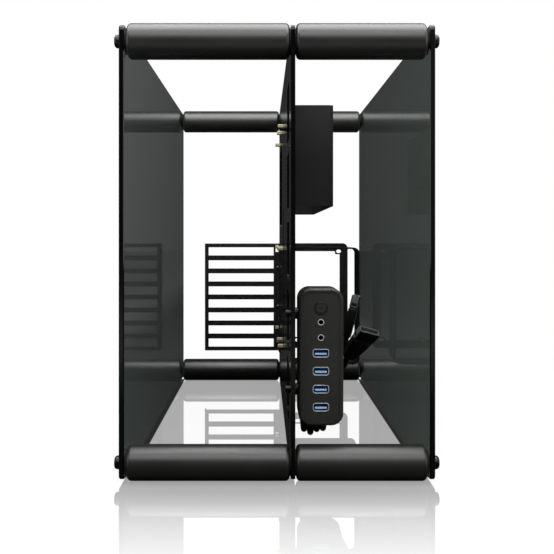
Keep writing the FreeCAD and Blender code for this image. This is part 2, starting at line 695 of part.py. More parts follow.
def screw(label, head, head_height, edge, thread, length):
    """A screw along +X with its seat at X = 0: a head that slopes to its top, and a plain shank."""
    return turned_piece(label, (
        ("-" + head_height, "0"),
        ("-" + head_height, "%s / 2 - %s" % (head, edge)),
        ("-%s + %s" % (head_height, edge), head + " / 2"),
        ("0", head + " / 2"),
        ("0", thread + " / 2"),
        (length, thread + " / 2"),
        (length, "0"),
    ))


def make_frame():
    """Glass, plate, tubes and everything that clamps them together."""
    make_glass("left_glass_panel", "left_outer")
    make_glass("right_glass_panel", "right_inner")
    make_plate()
    for name, y, z in CORNERS:
        make_tube("left_%s_tube" % name, "left_tube_length", "left_inner + gasket_thickness", y, z)
        make_tube("right_%s_tube" % name, "right_tube_length", "plate_right + plate_gasket_thickness", y, z)

    spots = [(y, z) for _, y, z in CORNERS]
    bore = "thread / 2 + thread_clearance"
    plug = ring("tube_plug", "tube_diameter / 2 - tube_wall - thread_clearance", bore, "plug_length")
    left_ends = ("left_inner + gasket_thickness", "plate_left - plate_gasket_thickness - plug_length")
    right_ends = ("plate_right + plate_gasket_thickness", "right_inner - gasket_thickness - plug_length")
    group("left_tube_plugs", plug, [(x, y, z) for x in left_ends for y, z in spots])
    group("right_tube_plugs", plug, [(x, y, z) for x in right_ends for y, z in spots])

    through = "thread / 2 + hole_clearance"
    gasket = ring("glass_gasket", "gasket_diameter / 2", through, "gasket_thickness")
    group("left_glass_gaskets", gasket, [("left_inner", y, z) for y, z in spots])
    group("right_glass_gaskets", gasket, [("right_inner - gasket_thickness", y, z) for y, z in spots])
    thin = ring("plate_gasket", "gasket_diameter / 2", through, "plate_gasket_thickness")
    plate_sides = ("plate_left - plate_gasket_thickness", "plate_right")
    group("plate_gaskets", thin, [(x, y, z) for x in plate_sides for y, z in spots])

    washer = ring("glass_washer", "washer_diameter / 2", bore, "washer_thickness")
    group("left_glass_washers", washer, [("left_outer - washer_thickness", y, z) for y, z in spots])
    group("right_glass_washers", washer, [("right_outer", y, z) for y, z in spots])
    reach = "washer_thickness + glass_thickness + gasket_thickness + thread_grip"
    corner = screw("corner_screw", "screw_head_diameter", "screw_head_height", "screw_dome", "thread", reach)
    group("left_glass_screws", corner, [("left_outer - washer_thickness", y, z) for y, z in spots])
    seats = [("right_outer + washer_thickness", y, z) for y, z in spots]
    group("right_glass_screws", corner, seats, LEFTWARD)

    stud_length = "plate_thickness + 2 * plate_gasket_thickness + 2 * thread_grip"
    stud = turned_piece("plate_stud", (
        ("0", "0"), ("0", "thread / 2"), (stud_length, "thread / 2"), (stud_length, "0")))
    start = "plate_left - plate_gasket_thickness - thread_grip"
    group("plate_studs", stud, [(start, y, z) for y, z in spots])


def sheet_screw(label, length):
    return screw(label, "small_head_diameter", "small_head_height", "small_head_edge", "small_thread", length)


def make_standoffs():
    """Hexagonal board stand-offs on the plate's left face, each with a shank in the plate."""
    body = new_body("standoff")
    sketch = new_sketch(body, "YZ_Plane")
    flat = "standoff_across / 2"
    point = "standoff_across / sqrt(3)"
    half = "standoff_across / sqrt(3) / 2"
    draw_polygon(sketch, (("0", "-" + point), (flat, "-" + half), (flat, half), ("0", point),
                          ("-" + flat, half), ("-" + flat, "-" + half)))
    pad(body, sketch, "standoff_height", backward=True)
    shank = new_sketch(body, "YZ_Plane")
    draw_circle(shank, "0", "0", "small_thread / 2")
    pad(body, shank, "plate_thickness - screw_end_gap")
    bore = new_sketch(body, "YZ_Plane", "-standoff_height")
    draw_circle(bore, "0", "0", "standoff_bore / 2")
    pocket(body, bore, "standoff_bore_depth")
    group("board_standoffs", body, [("plate_left", y, z) for y in BOARD_COLUMNS for z in BOARD_ROWS])


def make_slot_bracket():
    """The expansion bracket: one bent sheet, with a flange on the plate, a slotted wall and a screw lip."""
    body = new_body("slot_bracket")
    profile = new_sketch(body, "XY_Plane")
    inner_wall = "slot_wall - sheet"
    inner_flange = "plate_left - sheet"
    front = "slot_wall - bracket_flange"
    draw_polygon(profile, (
        ("bracket_left", inner_wall), (inner_flange, inner_wall), (inner_flange, front),
        ("plate_left", front), ("plate_left", "slot_wall"), ("bracket_left + sheet", "slot_wall"),
        ("bracket_left + sheet", "panel_rear"), ("bracket_left", "panel_rear"),
    ))
    pad(body, profile, "bracket_top - bracket_bottom")
    outer = (("bracket_left", inner_wall), ("plate_left", "slot_wall"))
    inner = (("bracket_left + sheet", "slot_wall"), (inner_flange, inner_wall))
    bend(body, "xy", outer, inner, "sheet_bend", "sheet")

    slot = new_sketch(body, "XZ_Plane")
    draw_polygon(slot, (
        ("slot_left", "slot_rim"), ("slot_right", "slot_rim"),
        ("slot_right", "slot_rim + slot_height"), ("slot_left", "slot_rim + slot_height"),
    ))
    first = pocket(body, slot, backward=True)
    repeat(body, first, slot, "V_Axis", "(slot_count - 1) * slot_pitch", "slot_count")

    relief = new_sketch(body, "XZ_Plane", "-(slot_wall - sheet - sheet_bend)")
    left = inner_flange + " - slot_relief"
    high = "bracket_top - bracket_bottom - slot_rim"
    low = "board_row_1 - bracket_bottom - slot_relief_low / 2"
    for bottom, height in ((high + " - slot_relief_high", "slot_relief_high"), (low, "slot_relief_low")):
        draw_polygon(relief, ((left, bottom), (inner_flange, bottom),
                              (inner_flange, bottom + " + " + height), (left, bottom + " + " + height)))
    pocket(body, relief, "2 * sheet_bend + sheet", backward=True)

    clear = new_sketch(body, "YZ_Plane", inner_flange)
    for row in BOARD_ROWS[:2]:
        draw_circle(clear, "board_column_1", row + " - bracket_bottom", "standoff_hole / 2")
    for y, z in BRACKET_SCREWS:
        draw_circle(clear, y, z + " - bracket_bottom", "small_thread / 2 + thread_clearance")
    pocket(body, clear, "2 * sheet")

    lip = new_sketch(body, "YZ_Plane", "bracket_left")
    draw_circle(lip, "slot_wall + lip_hole", "slot_rim + slot_height / 2", "small_thread / 2")
    first = pocket(body, lip, "2 * sheet")
    repeat(body, first, lip, "V_Axis", "(slot_count - 1) * slot_pitch", "slot_count")
    keep(place(body, z="bracket_bottom"))

    fixing = sheet_screw("bracket_screw", "sheet + plate_thickness - screw_end_gap")
    group("slot_bracket_screws", fixing, [("plate_left - sheet", y, z) for y, z in BRACKET_SCREWS])


def draw_hat(sketch, base, top, low, high, foot, thickness):
    """A bent sheet that stands out from the plate on two feet; gives the corners of its folds."""
    face = "%s + %s" % (base, thickness)
    under = "%s - %s" % (top, thickness)
    low_in = "%s + %s" % (low, thickness)
    high_in = "%s - %s" % (high, thickness)
    low_end = "%s - %s" % (low, foot)
    high_end = "%s + %s" % (high, foot)
    draw_polygon(sketch, (
        (face, low_end), (face, low), (top, low), (top, high), (face, high), (face, high_end),
        (base, high_end), (base, high_in), (under, high_in), (under, low_in), (base, low_in), (base, low_end),
    ))
    outer = ((top, low), (top, high), (base, high_in), (base, low_in))
    inner = ((face, low), (face, high), (under, high_in), (under, low_in))
    return outer, inner


def make_drive_cage():
    """The drive cage: a hat section, open above and below, with screw slots for upright drives."""
    body = new_body("drive_cage")
    profile = new_sketch(body, "XY_Plane")
    outer, inner = draw_hat(profile, "plate_right", "cage_face", "cage_front", "cage_rear",
                            "cage_flange", "sheet")
    pad(body, profile, "cage_height")
    bend(body, "xy", outer, inner, "cage_bend", "sheet")

    slots = new_sketch(body, "YZ_Plane", "cage_face - 2 * sheet")
    run = "(drive_slot_length - drive_slot_width) / 2"
    rear = "cage_rear - drive_inset"
    for y in (rear, rear + " - drive_across"):
        for z in ("(cage_height - drive_along) / 2", "(cage_height + drive_along) / 2"):
            draw_slot(slots, ((y, "%s - %s" % (z, run)), (y, "%s + %s" % (z, run))), "drive_slot_width / 2")
    first = pocket(body, slots, "4 * sheet")
    repeat(body, first, slots, "H_Axis", "(drive_count - 1) * drive_pitch", "drive_count", backward=True)

    holes = new_sketch(body, "YZ_Plane", "plate_right")
    for y, z in CAGE_SCREWS:
        draw_circle(holes, y, z + " - cage_bottom", "small_thread / 2 + thread_clearance")
    pocket(body, holes, "2 * sheet")
    keep(place(body, z="cage_bottom"))

    fixing = sheet_screw("cage_screw", "sheet + plate_thickness - screw_end_gap")
    group("drive_cage_screws", fixing, [("plate_right + sheet", y, z) for y, z in CAGE_SCREWS], LEFTWARD)


def make_supply_frame():
    """The supply frame: a flat ring with slotted lugs for the supply's screws, and a foot on the plate."""
    body = new_body("supply_frame")
    outline = new_sketch(body, "XZ_Plane", "-supply_plane")
    draw_rounded(outline, "plate_right", "supply_right", "supply_frame_bottom", "supply_top",
                 "supply_frame_corner")
    draw_rounded(outline, "plate_right + supply_frame_bar", "supply_right - supply_frame_bar",
                 "supply_frame_bottom + supply_frame_bar", "supply_top - supply_frame_bar", "window_corner")
    pad(body, outline, "supply_sheet")

    centres = [("supply_left_side + " + across, "supply_low_side + " + up) for up, across in SUPPLY_HOLES]
    half = "supply_slot_length / 2 + supply_lug"
    tall = "supply_slot_width / 2 + supply_lug"
    for x, z in centres:
        lug = new_sketch(body, "XZ_Plane", "-supply_plane")
        draw_rounded(lug, "%s - (%s)" % (x, half), "%s + %s" % (x, half), "%s - (%s)" % (z, tall),
                     "%s + %s" % (z, tall), "supply_lug")
        pad(body, lug, "supply_sheet")
    slots = new_sketch(body, "XZ_Plane", "-supply_plane")
    run = "(supply_slot_length - supply_slot_width) / 2"
    for x, z in centres:
        draw_slot(slots, (("%s - %s" % (x, run), z), ("%s + %s" % (x, run), z)), "supply_slot_width / 2")
    pocket(body, slots, "supply_sheet")

    middle = "supply_low_side + supply_height / 2"
    foot = new_sketch(body, "XY_Plane", middle + " - supply_flange_height / 2")
    draw_polygon(foot, (
        ("plate_right", "supply_plane - supply_sheet"),
        ("plate_right + supply_sheet", "supply_plane - supply_sheet"),
        ("plate_right + supply_sheet", "panel_rear"), ("plate_right", "panel_rear"),
    ))
    pad(body, foot, "supply_flange_height")
    holes = new_sketch(body, "YZ_Plane", "plate_right")
    for y, z in SUPPLY_SCREWS:
        draw_circle(holes, y, z, "small_thread / 2 + thread_clearance")
    pocket(body, holes, "supply_sheet")
    keep(place(body))

    fixing = sheet_screw("supply_screw", "supply_sheet + plate_thickness - screw_end_gap")
    seats = [("plate_right + supply_sheet", y, z) for y, z in SUPPLY_SCREWS]
    group("supply_frame_screws", fixing, seats, LEFTWARD)


def make_supply_strap():
    """The strap that holds the supply's inner end: a bent flat with a foot above and a foot below."""
    body = new_body("supply_strap")
    profile = new_sketch(body, "XZ_Plane", "-strap_front")
    outer, inner = draw_hat(profile, "plate_right", "strap_right", "strap_low", "strap_high", "strap_foot",
                            "supply_sheet")
    pad(body, profile, "strap_width", backward=True)
    bend(body, "xz", outer, inner, "strap_bend", "supply_sheet")
    holes = new_sketch(body, "YZ_Plane", "plate_right")
    for y, z in STRAP_SCREWS:
        draw_circle(holes, y, z, "small_thread / 2 + thread_clearance")
    pocket(body, holes, "supply_sheet")
    keep(place(body))

    fixing = sheet_screw("strap_screw", "supply_sheet + plate_thickness - screw_end_gap")
    seats = [("plate_right + supply_sheet", y, z) for y, z in STRAP_SCREWS]
    group("supply_strap_screws", fixing, seats, LEFTWARD)


def draw_module(sketch, inset):
    """The module's rounded outline, drawn in from its outside by a formula."""
    draw_rounded(sketch, "module_left + " + inset, "module_left + module_width - " + inset,
                 "module_bottom + " + inset, "module_bottom + module_height - " + inset,
                 "module_corner - " + inset)


def make_shell(label, is_left):
    """One half of the module's shell: rounded outside, open at the front, with two screw posts."""
    body = new_body(label)
    outside = new_sketch(body, "XZ_Plane", "-module_front")
    draw_module(outside, "0")
    pad(body, outside, "module_depth", backward=True)
    front = lies_at("y", value("module_front"))
    rear = lies_at("y", value("module_rear"))
    dress(body, "Fillet", "module_edge", lambda edge: front(edge) or rear(edge))

    cavity = new_sketch(body, "XZ_Plane", "-module_front - module_wall")
    draw_module(cavity, "module_wall")
    pocket(body, cavity, "module_depth - 2 * module_wall", backward=True)
    mouth = new_sketch(body, "XZ_Plane", "-module_front")
    draw_module(mouth, "module_rim")
    pocket(body, mouth, "module_wall", backward=True)

    posts = new_sketch(body, "YZ_Plane", "module_middle")
    for y, z in MODULE_SCREWS:
        draw_circle(posts, y, z, "module_post / 2")
    pad(body, posts, "module_width / 2 - module_wall / 2", backward=is_left)
    if is_left:
        pads = new_sketch(body, "YZ_Plane", "plate_right")
        for y, z in MODULE_SCREWS:
            draw_circle(pads, y, z, "module_pad / 2")
        pad(body, pads, "module_gap + module_wall / 2")
    doc.recompute()

    bores = new_sketch(body, "YZ_Plane", "plate_right" if is_left else "module_middle")
    for y, z in MODULE_SCREWS:
        draw_circle(bores, y, z, "small_thread / 2 + thread_clearance")
    pocket(body, bores, "module_middle - plate_right" if is_left else "module_screw_reach + hole_clearance")
    if is_left:
        exits = new_sketch(body, "XZ_Plane", "-module_rear + module_wall + module_edge")
        for z in ("lead_low", "lead_low + lead_spacing"):
            draw_circle(exits, "hank_middle", z, "grommet_neck / 2 + thread_clearance")
        pocket(body, exits, "2 * module_wall + module_edge", backward=True)

    half = new_sketch(body, "XZ_Plane")
    near, far = ("module_middle", "module_middle + module_width")
    if not is_left:
        near, far = ("module_middle - module_width", "module_middle")
    draw_polygon(half, ((near, "module_bottom - module_wall"), (far, "module_bottom - module_wall"),
                        (far, "module_bottom + module_height + module_wall"),
                        (near, "module_bottom + module_height + module_wall")))
    feature = pocket(body, half, backward=False)
    feature.Midplane = True
    return keep(place(body))


def make_face():
    """The face plate: held behind the shell's rim, with openings for button, jacks and sockets."""
    body = new_body("port_face_plate")
    front = new_sketch(body, "XZ_Plane", "-face_front")
    draw_module(front, "(module_rim + moulding_clearance)")
    pad(body, front, "face_back - face_front", backward=True)
    edge = new_sketch(body, "XZ_Plane", "-face_back")
    draw_module(edge, "(module_wall + moulding_clearance)")
    pad(body, edge, "face_flange - moulding_clearance")

    round_holes = new_sketch(body, "XZ_Plane", "-face_front")
    draw_circle(round_holes, "module_middle", "module_bottom + button_up", "button_diameter / 2")
    for z in ("jack_low", "jack_low + jack_pitch"):
        draw_circle(round_holes, "module_middle", "module_bottom + " + z,
                    "jack_diameter / 2 + thread_clearance")
    pocket(body, round_holes, backward=True)
    socket = new_sketch(body, "XZ_Plane", "-face_front")
    half = "(usb_width / 2 + usb_flare + usb_clearance)"
    tall = "(usb_height / 2 + usb_flare + usb_clearance)"
    z = "module_bottom + usb_low"
    draw_rounded(socket, "module_middle - " + half, "module_middle + " + half, "%s - %s" % (z, tall),
                 "%s + %s" % (z, tall), "usb_corner + usb_flare + usb_clearance")
    first = pocket(body, socket, backward=True)
    repeat(body, first, socket, "V_Axis", "(usb_count - 1) * usb_pitch", "usb_count")
    return keep(place(body))


def draw_usb(sketch, grow):
    """A USB shell's outline about the origin, larger all round by a formula."""
    half = "(usb_width / 2 + %s)" % grow
    tall = "(usb_height / 2 + %s)" % grow
    draw_rounded(sketch, "-" + half, half, "-" + tall, tall, "(usb_corner + %s)" % grow)


def make_usb(number):
    """A USB socket: a folded shell with lips that flare out at the face, and a tongue on its own block."""
    body = new_body("usb_shell_%d" % number)
    tube = new_sketch(body, "XZ_Plane", "-usb_flare_depth")
    draw_usb(tube, "0")
    pad(body, tube, "port_depth - usb_flare_depth", backward=True)
    lips = new_sketch(body, "XZ_Plane")
    draw_usb(lips, "usb_flare")
    doc.recompute()
    flare = body.newObject("PartDesign::AdditiveLoft", "flare")
    flare.Profile = lips
    flare.Sections = [tube]
    flare.Ruled = True
    bore = new_sketch(body, "XZ_Plane", "-usb_flare_depth")
    draw_usb(bore, "-usb_sheet")
    pocket(body, bore, "port_depth - usb_flare_depth", backward=True)
    mouth = new_sketch(body, "XZ_Plane")
    draw_usb(mouth, "(usb_flare - usb_sheet)")
    doc.recompute()
    throat = body.newObject("PartDesign::SubtractiveLoft", "throat")
    throat.Profile = mouth
    throat.Sections = [bore]
    throat.Ruled = True
    z = "module_bottom + usb_low + %d * usb_pitch" % (number - 1)
    keep(place(body, "module_middle", "face_front", z))

    tongue = new_body("usb_tongue_%d" % number)
    block = new_sketch(tongue, "XZ_Plane", "-port_depth")
    draw_usb(block, "-(usb_sheet + thread_clearance)")
    pad(tongue, block, "usb_base")
    blade = new_sketch(tongue, "XZ_Plane", "-usb_tongue_setback")
    half = "usb_tongue_width / 2"
    tall = "usb_tongue_height / 2"
    draw_polygon(blade, (("-" + half, "-usb_tongue_drop - " + tall), (half, "-usb_tongue_drop - " + tall),
                         (half, "-usb_tongue_drop + " + tall), ("-" + half, "-usb_tongue_drop + " + tall)))
    pad(tongue, blade, "port_depth - usb_tongue_setback", backward=True)
    keep(place(tongue, "module_middle", "face_front", z))


def make_jack(label, z):
    """An audio jack: a round nose in the face plate, a square body behind it, and a blind bore."""
    body = new_body(label)
    nose = new_sketch(body, "XZ_Plane")
    draw_circle(nose, "0", "0", "jack_diameter / 2")
    pad(body, nose, "port_depth", backward=True)
    block = new_sketch(body, "XZ_Plane", "-(face_back - face_front) - moulding_clearance")
    half = "jack_body / 2"
    draw_polygon(block, (("-" + half, "-" + half), (half, "-" + half), (half, half), ("-" + half, half)))
    pad(body, block, "board_front - face_back - moulding_clearance", backward=True)
    bore = new_sketch(body, "XZ_Plane")
    draw_circle(bore, "0", "0", "jack_bore / 2")
    pocket(body, bore, "jack_bore_depth", backward=True)
    return keep(place(body, "module_middle", "face_front", "module_bottom + " + z))


def make_button():
    """The power button, the plunger that it pushes, and the switch on the board."""
    body = new_body("power_button")
    cap = "button_diameter / 2 - button_clearance"
    edge = "button_diameter / 2 + button_flange"
    flange = "face_back - face_front + button_clearance"
    stem_end = "plunger_front - face_front - thread_clearance"
    turn(body, "XY_Plane", (
        ("0", "-button_proud"), (cap + " - button_edge", "-button_proud"),
        (cap, "-button_proud + button_edge"), (cap, flange), (edge, flange),
        (edge, flange + " + button_flange"), ("button_stem / 2", flange + " + button_flange"),
        ("button_stem / 2", stem_end), ("0", stem_end),
    ), "V_Axis")
    height = "module_bottom + button_up"
    keep(place(body, "module_middle", "face_front", height))

    plunger = new_body("switch_plunger")
    turn(plunger, "XY_Plane", (("0", "0"), ("plunger_diameter / 2", "0"),
                               ("plunger_diameter / 2", "plunger_length"), ("0", "plunger_length")), "V_Axis")
    keep(place(plunger, "module_middle", "plunger_front", height))

    housing = new_body("power_switch")
    block = new_sketch(housing, "XZ_Plane")
    half = "switch_size / 2"
    draw_polygon(block, (("-" + half, "-" + half), (half, "-" + half), (half, half), ("-" + half, half)))
    pad(housing, block, "switch_height", backward=True)
    bore = new_sketch(housing, "XZ_Plane")
    draw_circle(bore, "0", "0", "plunger_diameter / 2 + button_clearance")
    pocket(housing, bore, "plunger_length", backward=True)
    keep(place(housing, "module_middle", "switch_front", height))


def make_module():
    """The front port module and what is inside it."""
    make_shell("port_left_shell", True)
    make_shell("port_right_shell", False)
    make_face()
    make_button()
    board = new_body("port_circuit_board")
    outline = new_sketch(board, "XZ_Plane", "-board_front")
    draw_module(outline, "(module_wall + moulding_clearance)")
    pad(board, outline, "board_thickness", backward=True)
    keep(place(board))
    for number in range(1, int(value("usb_count")) + 1):
        make_usb(number)
    make_jack("lower_audio_jack", "jack_low")
    make_jack("upper_audio_jack", "jack_low + jack_pitch")

    long_screw = screw("module_screw", "module_head_diameter", "module_head_height", "module_head_edge",
                       "small_thread", "module_middle - plate_left + module_screw_reach")
    group("port_module_screws", long_screw, [("plate_left", y, z) for y, z in MODULE_SCREWS])

    grommet = new_body("cable_grommet")
    bore = "cable_diameter / 2 + thread_clearance"
    wall = "grommet_thickness + module_wall"
    turn(grommet, "XY_Plane", (
        (bore, "0"), ("grommet_flange / 2", "0"), ("grommet_flange / 2", "grommet_thickness"),
        ("grommet_neck / 2", "grommet_thickness"), ("grommet_neck / 2", wall),
        ("grommet_flange / 2", wall), ("grommet_flange / 2", wall + " + grommet_thickness"),
        (bore, wall + " + grommet_thickness"),
    ), "V_Axis")
    inside = "module_rear - module_wall - grommet_thickness"
    heights = ("lead_low", "lead_low + lead_spacing")
    group("cable_grommets", grommet, [("hank_middle", inside, z) for z in heights])


def from_hank(points):
    """Points of a route, moved from the hank's own corner to the case's frame."""
    corner = V(value("hank_right"), value("hank_front"), value("hank_bottom"))
    return [corner + V(*point) for point in points]


def cord_tube(label, points):
    """A plain round tube: straight runs joined by tangent arcs, each as large as its runs allow."""
    spots = from_hank(points)
    edges = []
    here = spots[0]
    total = 0.0
    for before, corner, after in zip(spots, spots[1:], spots[2:]):
        inward = (corner - before).normalize()
        outward = (after - corner).normalize()
        cut = RUN_SHARE * min(corner.distanceToPoint(before), corner.distanceToPoint(after))
        half_turn = inward.getAngle(outward) / 2
        radius = cut / math.tan(half_turn)
        print(label, "bend radius", round(radius, 1))
        start = corner - inward * cut
        end = corner + outward * cut
        bisector = (outward - inward).normalize()
        middle = corner + bisector * (radius / math.cos(half_turn) - radius)
        edges.append(Part.LineSegment(here, start).toShape())
        edges.append(Part.Arc(start, middle, end).toShape())
        total += here.distanceToPoint(start) + 2 * half_turn * radius
        here = end
    edges.append(Part.LineSegment(here, spots[-1]).toShape())
    total += here.distanceToPoint(spots[-1])
    radius = value("cable_diameter / 2")
    start_way = spots[1] - spots[0]
    section = Part.Wire([Part.Circle(spots[0], start_way, radius).toShape()])
    tube = Part.Wire(edges).makePipeShell([section], True, False)
    wanted = math.pi * radius ** 2 * total
    if abs(tube.Volume - wanted) > wanted / 100:
        raise ValueError("%s: volume %.0f, not %.0f" % (label, tube.Volume, wanted))
    piece = doc.addObject("Part::Feature", label)
    piece.Label = label
    piece.Shape = tube
    return keep(place(piece))


def make_plug(label, route, twist):
    """A header plug in line with the end of its cable: a boot that widens, and a flat plug."""
    body = new_body(label)
    half = "boot_slim / 2"
    small = new_sketch(body, "XY_Plane")
    draw_rounded(small, "-boot_end / 2", "boot_end / 2", "-" + half, half, "boot_slim / 4")
    large = new_sketch(body, "XY_Plane", "boot_length")
    draw_rounded(large, "-boot_width / 2", "boot_width / 2", "-" + half, half, "boot_slim / 4")
    doc.recompute()
    boot = body.newObject("PartDesign::AdditiveLoft", "boot")
    boot.Profile = small
    boot.Sections = [large]
    boot.Ruled = True
    block = new_sketch(body, "XY_Plane", "boot_length")
    draw_rounded(block, "-header_width / 2", "header_width / 2", "-header_thickness / 2",
                 "header_thickness / 2", "header_thickness / 8")
    pad(body, block, "header_body")
    before, end = from_hank(route[-2:])
    along = end - before
    tilt = FreeCAD.Rotation(V(0, 0, 1), along)
    spin = FreeCAD.Rotation(V(0, 0, 1), twist)
    body.Placement = FreeCAD.Placement(end, tilt.multiply(spin))
    return keep(body)


def make_cables():
    """The two USB cables: leads out of the module, one tied hank, tails, plugs, and the tie."""
    for label, z in (("usb_cable_a_lead", "lead_low"), ("usb_cable_b_lead", "lead_low + lead_spacing")):
        lead = doc.addObject("Part::Cylinder", label)
        lead.Label = label
        bind(lead, "Radius", "cable_diameter / 2")
        bind(lead, "Height", "hank_front - board_back")
        keep(place(lead, "hank_middle", "board_back", z, FreeCAD.Rotation(V(0, 0, 1), V(0, 1, 0))))

    hank = new_body("cable_hank")
    bundle = new_sketch(hank, "YZ_Plane", "hank_left")
    draw_rounded(bundle, "hank_front", "hank_rear", "hank_bottom", "hank_top", "hank_turn")
    pad(hank, bundle, "hank_width")
    left = lies_at("x", value("hank_left"))
    right = lies_at("x", value("hank_right"))
    dress(hank, "Chamfer", "hank_edge", lambda edge: left(edge) or right(edge))
    loose = new_sketch(hank, "YZ_Plane", "hank_right - hank_edge")
    draw_rounded(loose, "hank_front + loose_inset", "hank_rear - loose_inset", "loose_bottom", "loose_top",
                 "hank_turn - loose_inset")
    pad(hank, loose, "hank_edge + cable_diameter")
    keep(place(hank))

    tie = new_body("cable_tie")
    band = new_sketch(tie, "XY_Plane")
    for grow in ("tie_clearance", "(tie_clearance + tie_thickness)"):
        draw_rounded(band, "hank_left - " + grow, "loose_right + " + grow, "hank_front - " + grow,
                     "hank_rear + " + grow, "hank_edge")
    pad(tie, band, "tie_width")
    head = new_sketch(tie, "XY_Plane")
    rear = "hank_rear + tie_clearance"
    draw_polygon(head, (("hank_middle - tie_head / 2", rear), ("hank_middle + tie_head / 2", rear),
                        ("hank_middle + tie_head / 2", rear + " + tie_head_depth"),
                        ("hank_middle - tie_head / 2", rear + " + tie_head_depth")))
    pad(tie, head, "tie_width")
    keep(place(tie, z="tie_height"))

    cord_tube("usb_cable_a_tail", TAIL_A)
    cord_tube("usb_cable_b_tail", TAIL_B)
    make_plug("usb_plug_a", TAIL_A, PLUG_A_TURN)
    make_plug("usb_plug_b", TAIL_B, PLUG_B_TURN)


def check_and_write():
    """Stop on any failed feature or bad solid; otherwise write one file for each piece."""
    doc.recompute()
    for thing in doc.Objects:
        if "Invalid" in thing.State or "Error" in thing.State:
            raise ValueError("%s failed: %s" % (thing.Label, thing.State))
    for node in nodes:
        if node.Shape.isNull() or not node.Shape.isValid() or not node.Shape.Solids:
            raise ValueError(node.Label + " has no valid solid")
    os.makedirs("parts", exist_ok=True)
    for node in nodes:
        node.Shape.exportStep("parts/%s.step" % node.Label)
    print(len(nodes), "pieces written")


fill_sheets()
make_frame()
make_standoffs()
make_slot_bracket()
make_drive_cage()
make_supply_frame()
make_supply_strap()
make_module()
make_cables()
check_and_write()
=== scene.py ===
"""Looks of an open-frame computer case: camera, cables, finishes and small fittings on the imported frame."""
import json
import math

import bmesh
import bpy
import numpy as np
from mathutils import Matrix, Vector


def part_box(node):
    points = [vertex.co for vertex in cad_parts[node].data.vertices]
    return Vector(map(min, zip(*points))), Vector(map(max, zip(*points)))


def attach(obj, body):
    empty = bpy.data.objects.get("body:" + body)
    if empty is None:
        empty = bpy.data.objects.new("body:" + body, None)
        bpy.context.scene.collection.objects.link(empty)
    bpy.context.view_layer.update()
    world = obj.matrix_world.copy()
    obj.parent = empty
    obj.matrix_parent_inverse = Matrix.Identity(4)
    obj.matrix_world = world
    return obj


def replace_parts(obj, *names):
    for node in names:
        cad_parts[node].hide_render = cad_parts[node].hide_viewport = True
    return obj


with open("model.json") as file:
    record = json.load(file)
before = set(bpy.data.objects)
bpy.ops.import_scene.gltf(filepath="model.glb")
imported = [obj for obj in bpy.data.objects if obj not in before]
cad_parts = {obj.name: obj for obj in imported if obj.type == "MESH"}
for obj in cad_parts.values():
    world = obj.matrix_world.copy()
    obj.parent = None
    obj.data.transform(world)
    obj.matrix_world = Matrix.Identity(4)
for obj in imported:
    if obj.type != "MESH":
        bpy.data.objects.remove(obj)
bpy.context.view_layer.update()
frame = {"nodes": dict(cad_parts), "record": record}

MM = 0.001
scene = bpy.context.scene


def linear(code):
    """An sRGB hex colour as linear red, green, blue and full alpha."""
    shares = np.array([int(code[i:i + 2], 16) for i in (1, 3, 5)]) / 255
    light = np.where(shares <= 0.04045, shares / 12.92, ((shares + 0.055) / 1.055) ** 2.4)
    return (*light.tolist(), 1.0)


def add_node(tree, kind, inputs=None, **settings):
    """Add a node with its settings, then link or set each named or numbered input."""
    item = tree.nodes.new(kind)
    for name, value in settings.items():
        setattr(item, name, value)
    for name, value in (inputs or {}).items():
        if isinstance(value, bpy.types.NodeSocket):
            tree.links.new(value, item.inputs[name])
        else:
            item.inputs[name].default_value = value
    return item


# Camera: square on to the front, with the photograph's vanishing point and distance.
FRAME_PIXELS = 554
FOCAL_PIXELS = 860
VANISHING = (263.75, 236.6)
SENSOR = 36.0
EYE = (-11.95, -1065.0, 223.6)

camera = bpy.data.objects.new("camera", bpy.data.cameras.new("camera"))
scene.collection.objects.link(camera)
camera.data.sensor_width = SENSOR
camera.data.lens = FOCAL_PIXELS / FRAME_PIXELS * SENSOR
camera.data.shift_x = 0.5 - VANISHING[0] / FRAME_PIXELS
camera.data.shift_y = VANISHING[1] / FRAME_PIXELS - 0.5
camera.location = np.array(EYE) * MM
camera.rotation_euler = (math.pi / 2, 0, 0)
scene.camera = camera
scene.view_settings.view_transform = "Standard"


# Finishes: fine grit under a slow cloud of 60 mm; their product, lifted a little, picks the colour and the
# polish.
CLOUD = 60.0
CLOUD_DETAIL = 2.0
GRIT_DETAIL = 3.0
GRIT_ROUGHNESS = 0.6
LIFT = 0.1
COLOUR_STOPS = (0.2, 0.6)
POLISH_SPAN = {"From Min": 0.15, "From Max": 0.65}


